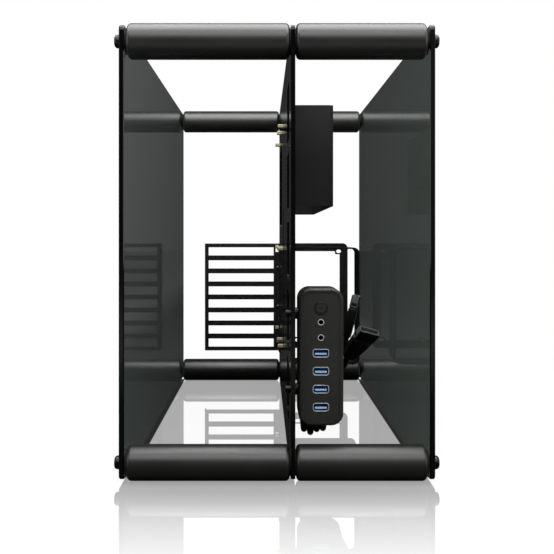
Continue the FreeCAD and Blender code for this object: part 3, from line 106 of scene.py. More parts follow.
def finish(name, low, high, grain, roughness, depth, stretch=(1, 1, 1), **sockets):
    """A named finish: two close colours and two roughnesses mixed by grain of a size in millimetres,
    which also lifts the surface by a depth in millimetres; stretch lengthens the grain along an axis."""
    material = bpy.data.materials.new(name)
    material.use_nodes = True
    tree = material.node_tree
    shader = tree.nodes["Principled BSDF"]
    place = add_node(tree, "ShaderNodeTexCoord").outputs["Object"]
    drawn = add_node(tree, "ShaderNodeMapping", {"Vector": place, "Scale": tuple(1 / s for s in stretch)})
    grit = add_node(tree, "ShaderNodeTexNoise", {
        "Vector": drawn.outputs["Vector"], "Scale": 1 / (grain * MM), "Detail": GRIT_DETAIL,
        "Roughness": GRIT_ROUGHNESS})
    cloud = add_node(tree, "ShaderNodeTexNoise", {
        "Vector": place, "Scale": 1 / (CLOUD * MM), "Detail": CLOUD_DETAIL})
    share = add_node(tree, "ShaderNodeMath", {
        0: grit.outputs["Fac"], 1: cloud.outputs["Fac"], 2: LIFT}, operation="MULTIPLY_ADD")
    colour = add_node(tree, "ShaderNodeValToRGB", {"Fac": share.outputs["Value"]})
    for stop, position, code in zip(colour.color_ramp.elements, COLOUR_STOPS, (low, high)):
        stop.position = position
        stop.color = linear(code)
    rough = add_node(tree, "ShaderNodeMapRange", {
        "Value": share.outputs["Value"], **POLISH_SPAN, "To Min": roughness[0], "To Max": roughness[1]})
    relief = add_node(tree, "ShaderNodeBump", {
        "Height": grit.outputs["Fac"], "Distance": depth * MM, "Strength": 1.0})
    tree.links.new(colour.outputs["Color"], shader.inputs["Base Color"])
    tree.links.new(rough.outputs["Result"], shader.inputs["Roughness"])
    tree.links.new(relief.outputs["Normal"], shader.inputs["Normal"])
    for socket, value in sockets.items():
        shader.inputs[socket.replace("_", " ").title().replace("Ior", "IOR")].default_value = value
    return material


GLASS_IOR = 1.5
TINT_DENSITY = 800.0
DUST = 90.0
DUST_DETAIL = 3.0
DUST_POLISH = {"From Min": 0.3, "From Max": 0.7, "To Min": 0.03, "To Max": 0.05}


def tinted_glass():
    """Grey float glass, 5 mm, polished: it mirrors strongly at a glancing angle and takes most of the light
    that passes through it. A thin film of dust, in patches of a size in millimetres, varies the polish."""
    material = bpy.data.materials.new("tinted_float_glass")
    material.use_nodes = True
    tree = material.node_tree
    shader = tree.nodes["Principled BSDF"]
    place = add_node(tree, "ShaderNodeTexCoord").outputs["Object"]
    film = add_node(tree, "ShaderNodeTexNoise", {
        "Vector": place, "Scale": 1 / (DUST * MM), "Detail": DUST_DETAIL})
    rough = add_node(tree, "ShaderNodeMapRange", {"Value": film.outputs["Fac"], **DUST_POLISH})
    tree.links.new(rough.outputs["Result"], shader.inputs["Roughness"])
    shader.inputs["Base Color"].default_value = linear("#f2f6f4")
    shader.inputs["IOR"].default_value = GLASS_IOR
    shader.inputs["Transmission Weight"].default_value = 1.0
    tint = add_node(tree, "ShaderNodeVolumeAbsorption", {
        "Color": linear("#c5c9c7"), "Density": TINT_DENSITY})
    tree.links.new(tint.outputs["Volume"], tree.nodes["Material Output"].inputs["Volume"])
    return material


# One finish for each of the record's material slots: two colours, grain, roughnesses and depth.
FINISHES = {
    # Bead-blasted and dyed aluminium under its own clear oxide, which has an IOR of 1.76: a soft, wide
    # highlight on black; the 0.1 mm grain is drawn at 0.7 mm to show.
    "black_anodised": finish("black_anodised_aluminium", "#171815", "#20211e", 0.7, (0.33, 0.45), 0.012,
                             ior=1.76),
    "tinted_glass": tinted_glass(),
    # Turned aluminium of the tubes' end plugs: bright, with a fine grain.
    "plain_aluminium": finish("turned_aluminium", "#a9abac", "#c6c8c9", 0.5, (0.25, 0.4), 0.01, metallic=1.0),
    # Powder-coated sheet: dull black with a slight orange peel of about 1.5 mm.
    "black_sheet": finish("powder_coated_steel", "#0c0d0b", "#141512", 1.5, (0.5, 0.64), 0.02),
    # Black-oxide screws: dark metal whose edges and sockets catch small bright lights.
    "black_steel": finish("black_oxide_steel", "#2c2d2d", "#474848", 0.8, (0.2, 0.34), 0.01, metallic=1.0),
    # Moulded rubber: dull, dark, slightly dusty.
    "black_rubber": finish("moulded_rubber", "#0c0c0c", "#161615", 1.0, (0.7, 0.85), 0.02),
    # Tumbled brass, pale and softly bright from every side: a painted highlight, its colours lifted near
    # white and only partly metal.
    "brass": finish("tumbled_brass_painted_highlight", "#e6dcae", "#fbf4d6", 0.6, (0.28, 0.4), 0.012, metallic=0.45),
    # Nickel-plated shells: bright, drawn lengthwise.
    "bright_steel": finish("nickel_plated_steel", "#c9cccc", "#e6e8e7", 0.4, (0.14, 0.28), 0.005,
                           stretch=(1, 8, 1), metallic=1.0),
    # Glossy blue insulator of the fast sockets, paler than the plastic's own blue: painted light against the
    # shade inside the sockets.
    "blue_plastic": finish("blue_moulded_nylon_painted_light", "#2f8ee8", "#48a4f2", 0.8, (0.3, 0.42), 0.008),
    # Moulded nylon round the jacks: deep black with a slight gloss.
    "jack_plastic": finish("black_moulded_nylon", "#0b0b0b", "#151514", 0.8, (0.4, 0.55), 0.01),
    # Spark-eroded mould texture on ABS: an even charcoal that scatters the light; grain drawn at 0.9 mm.
    "module_plastic": finish("textured_black_abs", "#292a26", "#33342e", 0.9, (0.5, 0.64), 0.025),
    # The button's ABS comes from a finer mould than the face: a shade darker, with a soft sheen.
    "button_plastic": finish("satin_black_abs", "#1d1e1c", "#272825", 0.6, (0.4, 0.5), 0.01),
    # Black nylon of the tie, the switch and its plunger: nearly black, with a weak, broad sheen.
    "black_plastic": finish("black_nylon", "#0d0d0d", "#171716", 0.9, (0.42, 0.58), 0.012),
    # Lacquered board: deep green, slightly mottled under a smooth lacquer.
    "circuit_board": finish("lacquered_circuit_board", "#07281a", "#0e3b27", 1.2, (0.3, 0.4), 0.01),
    # Moulded plug bodies and boots: black PVC with a low gloss.
    "plug_plastic": finish("moulded_black_pvc", "#040404", "#0a0a0a", 1.1, (0.42, 0.56), 0.02, ior=1.4),
    # Extruded PVC sheath: smooth and glossy, so its bends catch small lights.
    "cable_sheath": finish("extruded_pvc", "#050505", "#0b0b0b", 1.4, (0.22, 0.34), 0.015),
}

# Satin nickel of the rims, pale and even: a painted sheen, near-white colours only partly metal so that every
# light reads bright on them; the grain is fine and matt.
SATIN_NICKEL_PAINTED_SHEEN = finish("satin_nickel_painted_sheen", "#d4d8dc", "#eef1f4", 0.5, (0.38, 0.5), 0.006, metallic=0.3)

# Tinned contacts: white metal with a dull grain, made near white and mostly matt as a painted glint, so they
# read bright under the weak front light.
TINNED_PAINTED_GLINT = finish("tinned_bronze_painted_glint", "#def2ff", "#f2fbff", 0.5, (0.3, 0.42), 0.004, metallic=0.15)

# The button's sign and the bead round the face are left smooth in a textured mould and coloured a little
# paler; on the bead the paler colour is a painted highlight line.
PALE_SIGN_AND_HIGHLIGHT_BEAD = finish("pale_sign_and_highlight_bead_abs", "#42433f", "#4c4d49", 0.6, (0.35, 0.45), 0.008)

# Grey nylon of the plugs' mouths: paler than their boots, with a slight gloss.
GREY_NYLON = finish("grey_moulded_nylon", "#5c5e5c", "#747674", 0.8, (0.34, 0.46), 0.01)

# The port module's half shells are polished where the face plate is textured, so their rounded edges shine.
POLISHED_ABS = finish("polished_black_abs", "#2c2d29", "#363731", 2.0, (0.28, 0.38), 0.008)

# The middle plate is dyed like the tubes but rolled and polished first, so it mirrors at a glancing angle.
POLISHED_PLATE = finish("polished_black_aluminium", "#040404", "#090908", 3.0, (0.13, 0.19), 0.004, ior=1.4)

# Ground and polished edge of tinted glass: end on, the tint is so deep that it is black, with small sharp
# glints.
GROUND_GLASS = finish("polished_glass_edge", "#020302", "#060706", 1.0, (0.05, 0.1), 0.001, ior=GLASS_IOR)

OWN_FINISH = {"mid_plate": POLISHED_PLATE, "port_left_shell": POLISHED_ABS, "port_right_shell": POLISHED_ABS}
for subpart in frame["record"]["subparts"]:
    mesh = frame["nodes"][subpart["node"]].data
    mesh.materials.clear()
    mesh.materials.append(OWN_FINISH.get(subpart["node"], FINISHES[subpart["material_slot"]]))


# Small fittings: surfaces worked out as rings of points, in millimetres.
QUARTER = math.pi / 2
CRISP = math.radians(35)
NEAR = 1e-6


def full_turn(steps):
    """Equal angles once round a circle."""
    return np.arange(steps) / steps * 2 * math.pi


def skin(rings):
    """Points and four-sided faces of a surface whose rows are rings with equal numbers of points."""
    index = np.arange(rings.shape[0] * rings.shape[1]).reshape(rings.shape[:2])
    low, high = index[:-1], index[1:]
    faces = np.stack([low, np.roll(low, -1, axis=1), np.roll(high, -1, axis=1), high], axis=-1)
    return rings.reshape(-1, 3), faces.reshape(-1, 4)


def add_piece(name, shells, slot, body, coat=None):
    """One object from closed shells: doubles merged, faces turned outwards, edges over 35 degrees crisp."""
    starts = np.cumsum([0] + [len(points) for points, _ in shells])
    points = np.vstack([points for points, _ in shells]) * MM
    faces = np.vstack([faces + start for (_, faces), start in zip(shells, starts)])
    mesh = bpy.data.meshes.new(name)
    mesh.from_pydata(points.tolist(), [], faces.tolist())
    shape = bmesh.new()
    shape.from_mesh(mesh)
    bmesh.ops.remove_doubles(shape, verts=shape.verts, dist=NEAR)
    bmesh.ops.recalc_face_normals(shape, faces=shape.faces)
    shape.to_mesh(mesh)
    shape.free()
    mesh.shade_smooth()
    mesh.set_sharp_from_angle(angle=CRISP)
    mesh.materials.append(coat or FINISHES[slot])
    piece = bpy.data.objects.new(name, mesh)
    scene.collection.objects.link(piece)
    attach(piece, body)
    return piece


CORNER_STEPS = 7


def raised(plane, centre, width, height, corner, rows):
    """A raised shape on a plane (origin, across, up, out): rings of a rounded rectangle, four quarter circles
    about its corners' centres. Each row is an inset from the outline and a height out of the plane; an inset
    of None draws the ring together at the centre."""
    turn = np.linspace(0, QUARTER, CORNER_STEPS)
    angle = np.concatenate([turn + i * QUARTER for i in range(4)])
    side = np.repeat([(1, 1), (-1, 1), (-1, -1), (1, -1)], CORNER_STEPS, axis=0)
    arm = side * [width / 2 - corner, height / 2 - corner]
    spoke = np.column_stack([np.cos(angle), np.sin(angle)])
    rings = []
    for inset, out in rows:
        flat = 0 * arm if inset is None else arm + spoke * (corner - inset)
        flat = flat + centre
        rings.append(plane[0] + flat[:, :1] * plane[1] + flat[:, 1:] * plane[2] + out * plane[3])
    return skin(np.array(rings))


def rim_rows(wall, proud, back):
    """Rows of a closed ring with a rolled front edge."""
    roll = wall / 4
    return [(0, back), (0, proud - roll), (roll, proud), (wall - roll, proud), (wall, proud - roll),
            (wall, back), (0, back)]


def pad_rows(proud, back, edge):
    """Rows of a closed pad with a sloped front edge."""
    return [(None, back), (0, back), (0, proud - edge), (edge, proud), (None, proud)]


# Plugs: a moulded boot that widens to a header, with a rim and socket springs at its mouth and a latch in its
# narrow side. Each ring: millimetres along the plug's axis from the cable, width, thickness, corner radius.
PLUG_RINGS = ((0, 13.0, 8.0, 3.6), (1.2, 14.6, 9.0, 3.8), (4, 15.6, 9.0, 3.4), (12, 18.0, 9.0, 2.8),
              (20, 20.2, 9.0, 2.4), (27.5, 21.0, 9.0, 2.0), (29, 21.0, 8.8, 1.6), (29.6, 20.2, 7.6, 1.2),
              (30.4, 20.2, 7.6, 1.2), (31, 22.0, 8.4, 1.0), (42.6, 22.0, 8.4, 1.0), (43, 21.4, 7.8, 0.7))
PLUG_LENGTH = 43.0

# Fittings of a plug: width, height and corner radius of the outline, then its rows.
MOUTH_RIM = (21.2, 7.6, 0.8, rim_rows(0.7, 0.25, -0.3))
SPRINGS = 10
SPRING = (1.0, 1.5, 0.2, pad_rows(0.15, -0.3, 0.05))
SPRING_PITCH = 1.95
SPRING_ROW = 2.6
LATCH_ALONG = 36.8
LATCH_FACE = 11.0
LATCH_RIM = (7.0, 11.0, 1.0, rim_rows(0.8, 0.25, -0.3))
LATCH = (5.0, 6.4, 0.6, pad_rows(0.2, -0.3, 0.1))
LATCH_RISE = 2.0


def make_plug(name, node, start, axis, wide, turn):
    """A plug lofted through its rings along an axis, its width turned about that axis by some degrees."""
    axis, wide = (np.array(v) / np.linalg.norm(v) for v in (axis, wide))
    thick = np.cross(axis, wide)
    cos, sin = math.cos(math.radians(turn)), math.sin(math.radians(turn))
    wide, thick = wide * cos + thick * sin, thick * cos - wide * sin
    foot = (np.array(start), wide, thick, axis)
    rings = [raised(foot, (0, 0), width, depth, corner, [(0, along)])[0]
             for along, width, depth, corner in PLUG_RINGS]
    ends = [np.repeat([foot[0] + along * axis], len(rings[0]), axis=0) for along in (0, PLUG_LENGTH)]
    body = add_piece(name, [skin(np.array([ends[0], *rings, ends[1]]))], "plug_plastic", "case")
    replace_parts(body, node)
    mouth = (foot[0] + PLUG_LENGTH * axis, wide, thick, axis)
    fittings = [raised(mouth, (0, 0), *MOUTH_RIM)]
    fittings += [raised(mouth, ((i - (SPRINGS - 1) / 2) * SPRING_PITCH, SPRING_ROW * side), *SPRING)
                 for i in range(SPRINGS) for side in (-1, 1)]
    flank = (foot[0] + LATCH_ALONG * axis - LATCH_FACE * wide, thick, axis, -wide)
    fittings += [raised(flank, (0, 0), *LATCH_RIM), raised(flank, (0, LATCH_RISE), *LATCH)]
    add_piece(name + "_mouth", fittings, "plug_plastic", "case", GREY_NYLON)
    return body


START_A = (73.3, -194.5, 102.2)
START_B = (72.1, -190.0, 121.8)
plug_a = make_plug("plug_a", "usb_plug_a", START_A, (0.436, -0.6, 0.671), (0.889, 0.353, -0.262), 0)
plug_b = make_plug("plug_b", "usb_plug_b", START_B, (0.242, 0.0, 0.97), (0.0, 1.0, 0.0), -9)


# Cables: each is one smooth line from its grommet, round the hank, to its plug. Millimetres.
CABLE = 6.2
EXIT_FACE = -229.0
HANK_FRONT = -211.9
HANK_MIDDLE = -190.0
FOLD_RADIUS = HANK_MIDDLE - HANK_FRONT
FOLD_STEP = math.radians(30)
REAR_RUN = HANK_MIDDLE + FOLD_RADIUS
LEFT_ROW, LEAD_ROW, RIGHT_ROW, OUTER_ROW = 28.7, 35.1, 41.5, 47.9
RUN_LOW, RUN_HIGH = 85.0, 120.0
FRONT, REAR, UP, DOWN = -1, 1, 1, -1

TAIL_A = ((40.0, -177.0, 86.0), (52.5, -179.5, 87.0), (63.5, -180.0, 85.5), (70.5, -185.0, 91.0),
          START_A, (74.6, -196.3, 104.2))
TAIL_B = ((47.7, -190.0, 82.0), (57.2, -190.0, 97.2), (68.6, -190.0, 107.7), START_B, (72.8, -190.0, 124.7))


def fold(x, rise, out, start, radius=FOLD_RADIUS, first=0, last=6):
    """Points round one fold of the hank: they stand a little outside a circle of the fold's radius, half a
    step off its ends, so that the smooth line runs on that circle. It starts at the front or the rear side
    and turns up or down; rise is the height of the circle's centre."""
    angle = (np.arange(first, last) + 0.5) * FOLD_STEP
    reach = radius / math.cos(FOLD_STEP / 2)
    y = HANK_MIDDLE + start * reach * np.cos(angle)
    z = rise + out * reach * np.sin(angle)
    return np.column_stack([np.full_like(y, x), y, z]).tolist()


cable_a = [
    (LEAD_ROW, EXIT_FACE, 66.0), (LEAD_ROW, -221.1, 66.0), (LEAD_ROW, HANK_FRONT, 56.8),
    *fold(LEAD_ROW, 47.2, DOWN, FRONT),
    (LEAD_ROW, REAR_RUN, RUN_LOW), (LEFT_ROW, REAR_RUN, RUN_HIGH),
    *fold(LEFT_ROW, 125.0, UP, REAR),
    *fold(LEFT_ROW, 50.4, DOWN, FRONT),
    (LEFT_ROW, -168.5, 64.0), (31.0, -171.5, 77.0), *TAIL_A,
]
cable_b = [
    (LEAD_ROW, EXIT_FACE, 116.0), (LEAD_ROW, -219.5, 116.0), (LEAD_ROW, -211.0, 128.5),
    *fold(LEAD_ROW, 125.0, UP, FRONT, first=1),
    (LEAD_ROW, REAR_RUN, RUN_HIGH), (RIGHT_ROW, REAR_RUN, RUN_LOW),
    *fold(RIGHT_ROW, 50.2, DOWN, REAR),
    *fold(RIGHT_ROW, 123.6, UP, FRONT),
    (RIGHT_ROW, REAR_RUN, RUN_HIGH), (OUTER_ROW, REAR_RUN, RUN_LOW),
    *fold(OUTER_ROW, 48.2, DOWN, REAR, radius=19.0, last=7),
    *TAIL_B,
]


def lay_cable(name, route, length, pieces, *stands_for):
    """A round cable whose smooth line has the route's points as its control points."""
    curve = bpy.data.curves.new(name, "CURVE")
    curve.dimensions = "3D"
    curve.bevel_depth = CABLE / 2 * MM
    curve.bevel_resolution = 5
    curve.resolution_u = 8
    curve.use_fill_caps = True
    line = curve.splines.new("NURBS")
    line.points.add(len(route) - 1)
    spots = np.column_stack([np.array(route) * MM, np.ones(len(route))])
    line.points.foreach_set("co", spots.ravel())
    line.order_u = 3
    line.use_endpoint_u = True
    line.use_smooth = True
    cable = bpy.data.objects.new(name, curve)
    scene.collection.objects.link(cable)
    curve.materials.append(FINISHES["cable_sheath"])
    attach(cable, "case")
    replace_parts(cable, *stands_for)


lay_cable("usb_cable_a", cable_a, 0.48, [plug_a, frame["nodes"]["cable_tie"]],
          "usb_cable_a_lead", "usb_cable_a_tail", "cable_hank")
lay_cable("usb_cable_b", cable_b, 0.60, [plug_b], "usb_cable_b_lead", "usb_cable_b_tail")


# Glass panels with ground edges: each is a rounded rectangle across X whose long edges are bevelled. The
# faces that look along X are tinted glass, and the edges have their own finish.
X_AXIS, Y_AXIS, Z_AXIS = np.eye(3)
PANEL_CORNER = 5.0
GROUND_EDGE = 0.9
FACE_ON = 0.95
for node in ("left_glass_panel", "right_glass_panel"):
    low, high = (np.array(corner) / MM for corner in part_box(node))
    thickness = high[0] - low[0]
    plane = (low[0] * X_AXIS, Y_AXIS, Z_AXIS, X_AXIS)
    rows = [(None, 0), (GROUND_EDGE, 0), (0, GROUND_EDGE),
            (0, thickness - GROUND_EDGE), (GROUND_EDGE, thickness), (None, thickness)]
    centre = ((low[1] + high[1]) / 2, (low[2] + high[2]) / 2)
    panel = raised(plane, centre, high[1] - low[1], high[2] - low[2], PANEL_CORNER, rows)
    ground = add_piece(node + "_ground", [panel], "tinted_glass", "case")
    ground.data.materials.append(GROUND_GLASS)
    outward = np.array([face.normal for face in ground.data.polygons])
    ground.data.polygons.foreach_set("material_index", (np.abs(outward[:, 0]) < FACE_ON).astype(np.int32))
    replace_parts(ground, node)


# Spacer tubes with rounded ends.
TUBE_WALL = 5.5
TUBE_FILLET = 4.0
TUBE_BEND = np.linspace(0, QUARTER, 9)
AROUND_TUBE = full_turn(96)


def round_tube(low, high):
    """A tube about the X axis between two corners of its box: each ring is a place along X and a radius; its
    outer edges are quarter circles, and the last ring is the first again."""
    radius = (high[2] - low[2]) / 2
    middle = (low + high) / 2
    inner = radius - TUBE_FILLET
    bore = radius - TUBE_WALL
    sine, cosine = TUBE_FILLET * np.sin(TUBE_BEND), TUBE_FILLET * np.cos(TUBE_BEND)
    near = [low[0] + TUBE_FILLET - cosine, inner + sine]
    far = [high[0] - TUBE_FILLET + sine, inner + cosine]
    rows = np.column_stack([near, far, [[high[0], low[0], low[0]], [bore, bore, inner]]])
    x, reach = rows[0][:, None], rows[1][:, None]
    return skin(np.stack([x + 0 * AROUND_TUBE, middle[1] + reach * np.cos(AROUND_TUBE),
                          middle[2] + reach * np.sin(AROUND_TUBE)], axis=-1))


for node in [part["node"] for part in frame["record"]["subparts"] if part["node"].endswith("_tube")]:
    low, high = (np.array(corner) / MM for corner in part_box(node))
    tube = add_piece(node + "_rounded", [round_tube(low, high)], "black_anodised", "case")
    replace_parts(tube, node)


# Screws with hexagon sockets: the socket's edge in millimetres, its floor as a share of the head's height,
# and the key over the depth of the drill's point.
AROUND_SCREW = full_turn(48)
ONE_FLAT = math.pi / 3
HEXAGON = 1 / np.cos((AROUND_SCREW + ONE_FLAT / 2) % ONE_FLAT - ONE_FLAT / 2)
HEAD_BEND = np.linspace(0, QUARTER, 6)
SOCKET_EDGE = 0.15
SOCKET_FLOOR = 0.4
DRILL_POINT = 6


def socket_screw(seat, outward, head, height, edge, thread, length, key):
    """A screw about the X axis. Each ring has a height above the seat and a radius; the head's edge is a
    quarter circle, and the socket's rings are hexagons: half the key over the cosine of the angle from
    the nearest flat. The socket ends in a drill's point."""
    dome = zip(height - edge + edge * np.sin(HEAD_BEND), head / 2 - edge + edge * np.cos(HEAD_BEND),
               [0] * len(HEAD_BEND))
    floor = height * SOCKET_FLOOR
    rows = np.array([
        (-length, 0, 0), (-length, thread / 2, 0), (0, thread / 2, 0), (0, head / 2, 0), *dome,
        (height, key / 2 + SOCKET_EDGE, 1), (height - SOCKET_EDGE, key / 2, 1),
        (floor, key / 2, 1), (floor - key / DRILL_POINT, 0, 0)])
    rise, radius, six = (rows[:, i, None] for i in range(3))
    reach = radius * np.where(six > 0, HEXAGON, 1.0)
    x = seat[0] + outward * rise + 0 * reach
    return skin(np.stack([x, seat[1] + reach * np.cos(AROUND_SCREW), seat[2] + reach * np.sin(AROUND_SCREW)],
                         axis=-1))


# Screw sets: which way the head looks along X, then head diameter, height and edge, thread, key, and places.
CORNER = (12.4, 4.2, 2.8, 6.0, 4.0)
SHEET = (6.6, 3.2, 0.5, 3.0, 2.5)
MODULE = (7.0, 4.0, 0.5, 3.0, 3.0)
CORNER_PLACES = [(y, z) for y in (-276.0, 276.0) for z in (16.5, 402.5)]
SCREWS = {
    "left_glass_screws": (-1, CORNER, CORNER_PLACES),
    "right_glass_screws": (1, CORNER, CORNER_PLACES),
    "slot_bracket_screws": (-1, SHEET, [(267.0, z) for z in (59.3, 115.53, 175.53)]),
    "drive_cage_screws": (1, SHEET, [(y, z) for y in (-119.0, 275.5) for z in (277.5, 349.5)]),
    "supply_frame_screws": (1, SHEET, [(282.5, z) for z in (91.7, 131.7, 171.7)]),
    "supply_strap_screws": (1, SHEET, [(y, z) for y in (85.5, 110.5) for z in (42.9, 220.5)]),
    "port_module_screws": (-1, MODULE, [(-247.95, z) for z in (78.9, 150.9)]),
}
for node, (outward, (head, height, edge, thread, key), places) in SCREWS.items():
    low, high = (np.array(corner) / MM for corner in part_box(node))
    seat = high[0] - height if outward > 0 else low[0] + height
    length = high[0] - low[0] - height
    shells = [socket_screw((seat, y, z), outward, head, height, edge, thread, length, key) for y, z in places]
    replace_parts(add_piece(node + "_socketed", shells, "black_steel", "case"), node)


# Port module: nickel rims round the sockets and jacks, sprung contacts on the tongues, a sign on the button.
PORTS_X = 41.05
USB_LOWEST, USB_PITCH, USB_COUNT = 65.5, 16.67, 4
USB_HEIGHTS = [USB_LOWEST + USB_PITCH * i for i in range(USB_COUNT)]
JACK_HEIGHTS = (129.9, 144.2)
BUTTON_HEIGHT = 157.3
FACE_HEIGHT = 112.0
FACE_Y, TONGUE_Y, BUTTON_Y = -268.2, -267.2, -268.5
face, tongues, button = (
    (np.array([PORTS_X, y, z]), X_AXIS, Z_AXIS, -Y_AXIS)
    for y, z in ((FACE_Y, 0.0), (TONGUE_Y, 0.0), (BUTTON_Y, BUTTON_HEIGHT)))

# Width, height and corner radius of each outline, then its rows. The bar and contacts sit low on the tongue.
USB_RIM = (15.1, 7.9, 2.6, rim_rows(0.6, 0.3, -0.3))
JACK_RIM = (6.0, 6.0, 3.0, rim_rows(0.75, 0.3, -0.3))
CONTACT_BAR = (10.6, 0.9, 0.2, pad_rows(0.25, -1.0, 0.1))
BAR_DROP = 1.0
CONTACT = (1.4, 0.9, 0.2, pad_rows(0.3, -1.0, 0.1))
CONTACT_DROP = 0.35
CONTACTS = 5
CONTACT_PITCH = 2.25
FACE_BEAD = (38.0, 123.5, 9.5, rim_rows(0.6, 0.5, -0.3))

add_piece("usb_rims", [raised(face, (0, z), *USB_RIM) for z in USB_HEIGHTS],
          "bright_steel", "case", SATIN_NICKEL_PAINTED_SHEEN)
add_piece("jack_rims", [raised(face, (0, z), *JACK_RIM) for z in JACK_HEIGHTS],
          "bright_steel", "case", SATIN_NICKEL_PAINTED_SHEEN)
contacts = [raised(tongues, (0, z - BAR_DROP), *CONTACT_BAR) for z in USB_HEIGHTS]
contacts += [raised(tongues, ((i - (CONTACTS - 1) / 2) * CONTACT_PITCH, z - CONTACT_DROP), *CONTACT)
             for z in USB_HEIGHTS for i in range(CONTACTS)]
add_piece("usb_contacts", contacts, "bright_steel", "case", TINNED_PAINTED_GLINT)

# A thin smooth bead where the half shells hold the face plate; its paler colour is a painted highlight line.
add_piece("face_bead_painted_highlight", [raised(face, (0, FACE_HEIGHT), *FACE_BEAD)], "module_plastic", "case", PALE_SIGN_AND_HIGHLIGHT_BEAD)

# The sign: a ring open at the top, and a stroke in its gap.
SIGN_RADIUS, SIGN_LINE, SIGN_PROUD = 2.9, 0.7, 0.24
SIGN_START, SIGN_STOP = math.radians(125), math.radians(415)
STROKE_RISE = 2.4
STROKE = (SIGN_LINE, 3.0, 0.34, pad_rows(0.12, -0.2, 0.05))
SIGN_STEPS = 41
SECTION = full_turn(10)


def ring_part(plane, radius, wall, proud, start, stop):
    """Part of a ring with a rounded section, from one angle to another, its two ends drawn to a point."""
    along = np.linspace(start, stop, SIGN_STEPS)[:, None]
    full = np.where((along == start) | (along == stop), 0.0, 1.0)
    reach = radius + full * wall / 2 * np.cos(SECTION)
    out = proud / 2 + full * proud / 2 * np.sin(SECTION)
    flat = [(reach * turn(along))[..., None] for turn in (np.cos, np.sin)]
    return skin(plane[0] + flat[0] * plane[1] + flat[1] * plane[2] + out[..., None] * plane[3])


sign = [ring_part(button, SIGN_RADIUS, SIGN_LINE, SIGN_PROUD, SIGN_START, SIGN_STOP),
        raised(button, (0, STROKE_RISE), *STROKE)]
add_piece("power_sign", sign, "button_plastic", "power_button", PALE_SIGN_AND_HIGHLIGHT_BEAD)


# Light: a wide soft box overhead, a weaker one high in front and weak ones at the sides. Place, aim and size
# in metres, power in watts.
SOFT_BOXES = {
    "top_box": ((0.0, -0.2, 1.15), (0.0, -0.2, 0.0), (2.0, 0.8), 25.0),
    "front_box": ((0.0, -1.5, 1.5), (0.0, -0.1, 0.25), (2.0, 1.0), 16.0),
    "left_box": ((-1.6, -0.6, 0.7), (0.0, -0.1, 0.2), (1.2, 1.2), 5.0),
    "right_box": ((1.6, -0.6, 0.7), (0.0, -0.1, 0.2), (1.2, 1.2), 5.0),
}


def soft_box(name, place, aim, size, power):
    """A rectangular lamp at a place in metres, turned towards a point."""
    lamp = bpy.data.lights.new(name, "AREA")
    lamp.shape = "RECTANGLE"
    lamp.size, lamp.size_y = size
    lamp.energy = power
    holder = bpy.data.objects.new(name, lamp)
    scene.collection.objects.link(holder)
    toward = np.array(aim) - np.array(place)
    holder.location = place
    holder.rotation_euler = (math.atan2(math.hypot(toward[0], toward[1]), -toward[2]), 0,
                             math.atan2(-toward[0], toward[1]))


for name, setting in SOFT_BOXES.items():
    soft_box(name, *setting)


# Fades of the room and the floor: each runs from one place to another, between two levels.
FADE_ENDS = ("From Min", "From Max", "To Min", "To Max")
FADES = {name: dict(zip(FADE_ENDS, numbers)) for name, numbers in {
    # Room, by direction: its wall grows lighter to the right, and the light is stronger upwards.
    "wall_to_right": (0.02, 0.24, 0.03, 0.12),
    "wall_upwards": (-0.12, 0.2, 0.8, 1.3),
    # Floor as the camera sees it, by metres: the painted shadow, a dark strip beside and along the foot of a
    # glass panel, the object's soft shadow, and the mirror in front of, behind and beside the case.
    "painted_shadow_beside": (0.0033, 0.0043, 0.95, 0.0),
    "painted_shadow_along": (0.2725, 0.2805, 1.0, 0.0),
    "soft_shadow": (0.3, 0.7, 0.2, 0.0),
    "mirror_along": (0.31, 0.515, 0.58, 0.0),
    "mirror_beside": (0.18, 0.32, 1.0, 0.0),
    # Floor as the object sees it, by metres: painted light, pale well in front and far behind to the right;
    # elsewhere painted shade, dark round the case.
    "pale_in_front": (-0.95, -0.55, 0.22, 0.03),
    "pale_behind": (0.5, 1.1, 0.0, 0.11),
    "pale_to_right": (0.0, 0.15, 0.0, 1.0),
}.items()}
ROOM_LIGHT = 0.35

# The sheet is white straight on, through glass and in the sharp mirror of the floor. What the object itself
# mirrors is the room: grey, dark behind the case and lighter to the right and upwards.
world = bpy.data.worlds.new("white_sheet_in_a_dim_room")
scene.world = world
world.use_nodes = True
sky = world.node_tree
toward = add_node(sky, "ShaderNodeSeparateXYZ", {
    "Vector": add_node(sky, "ShaderNodeTexCoord").outputs["Generated"]})
wall = add_node(sky, "ShaderNodeMapRange", {
    "Value": toward.outputs["X"], **FADES["wall_to_right"]}, interpolation_type="SMOOTHSTEP")
upper = add_node(sky, "ShaderNodeMapRange", {"Value": toward.outputs["Z"], **FADES["wall_upwards"]})
path = add_node(sky, "ShaderNodeLightPath")
mirrored = add_node(sky, "ShaderNodeMath", {
    0: wall.outputs["Result"], 1: upper.outputs["Result"]}, operation="MULTIPLY")
room = add_node(sky, "ShaderNodeMix", {
    "Factor": path.outputs["Is Glossy Ray"], "A": ROOM_LIGHT, "B": mirrored.outputs["Value"]},
    data_type="FLOAT")
straight = add_node(sky, "ShaderNodeMath", {
    0: path.outputs["Is Camera Ray"], 1: path.outputs["Is Transmission Ray"]}, operation="MAXIMUM")
sheet = add_node(sky, "ShaderNodeMath", {
    0: straight.outputs["Value"], 1: path.outputs["Is Singular Ray"]}, operation="MAXIMUM")
level = add_node(sky, "ShaderNodeMath", {
    0: sheet.outputs["Value"], 1: room.outputs["Result"]}, operation="MAXIMUM")
sky.links.new(level.outputs["Value"], sky.nodes["Background"].inputs["Strength"])
sky.nodes["Background"].inputs["Color"].default_value = linear("#ffffff")


# Floor: white gloss acrylic that mirrors the case, with a painted shadow close under the two glass panels.
FLOOR_REACH = 12.0
FLOOR_DROP = 0.0002
GLASS_FOOT = 0.1392
STRIP_MIDDLE = 0.0105


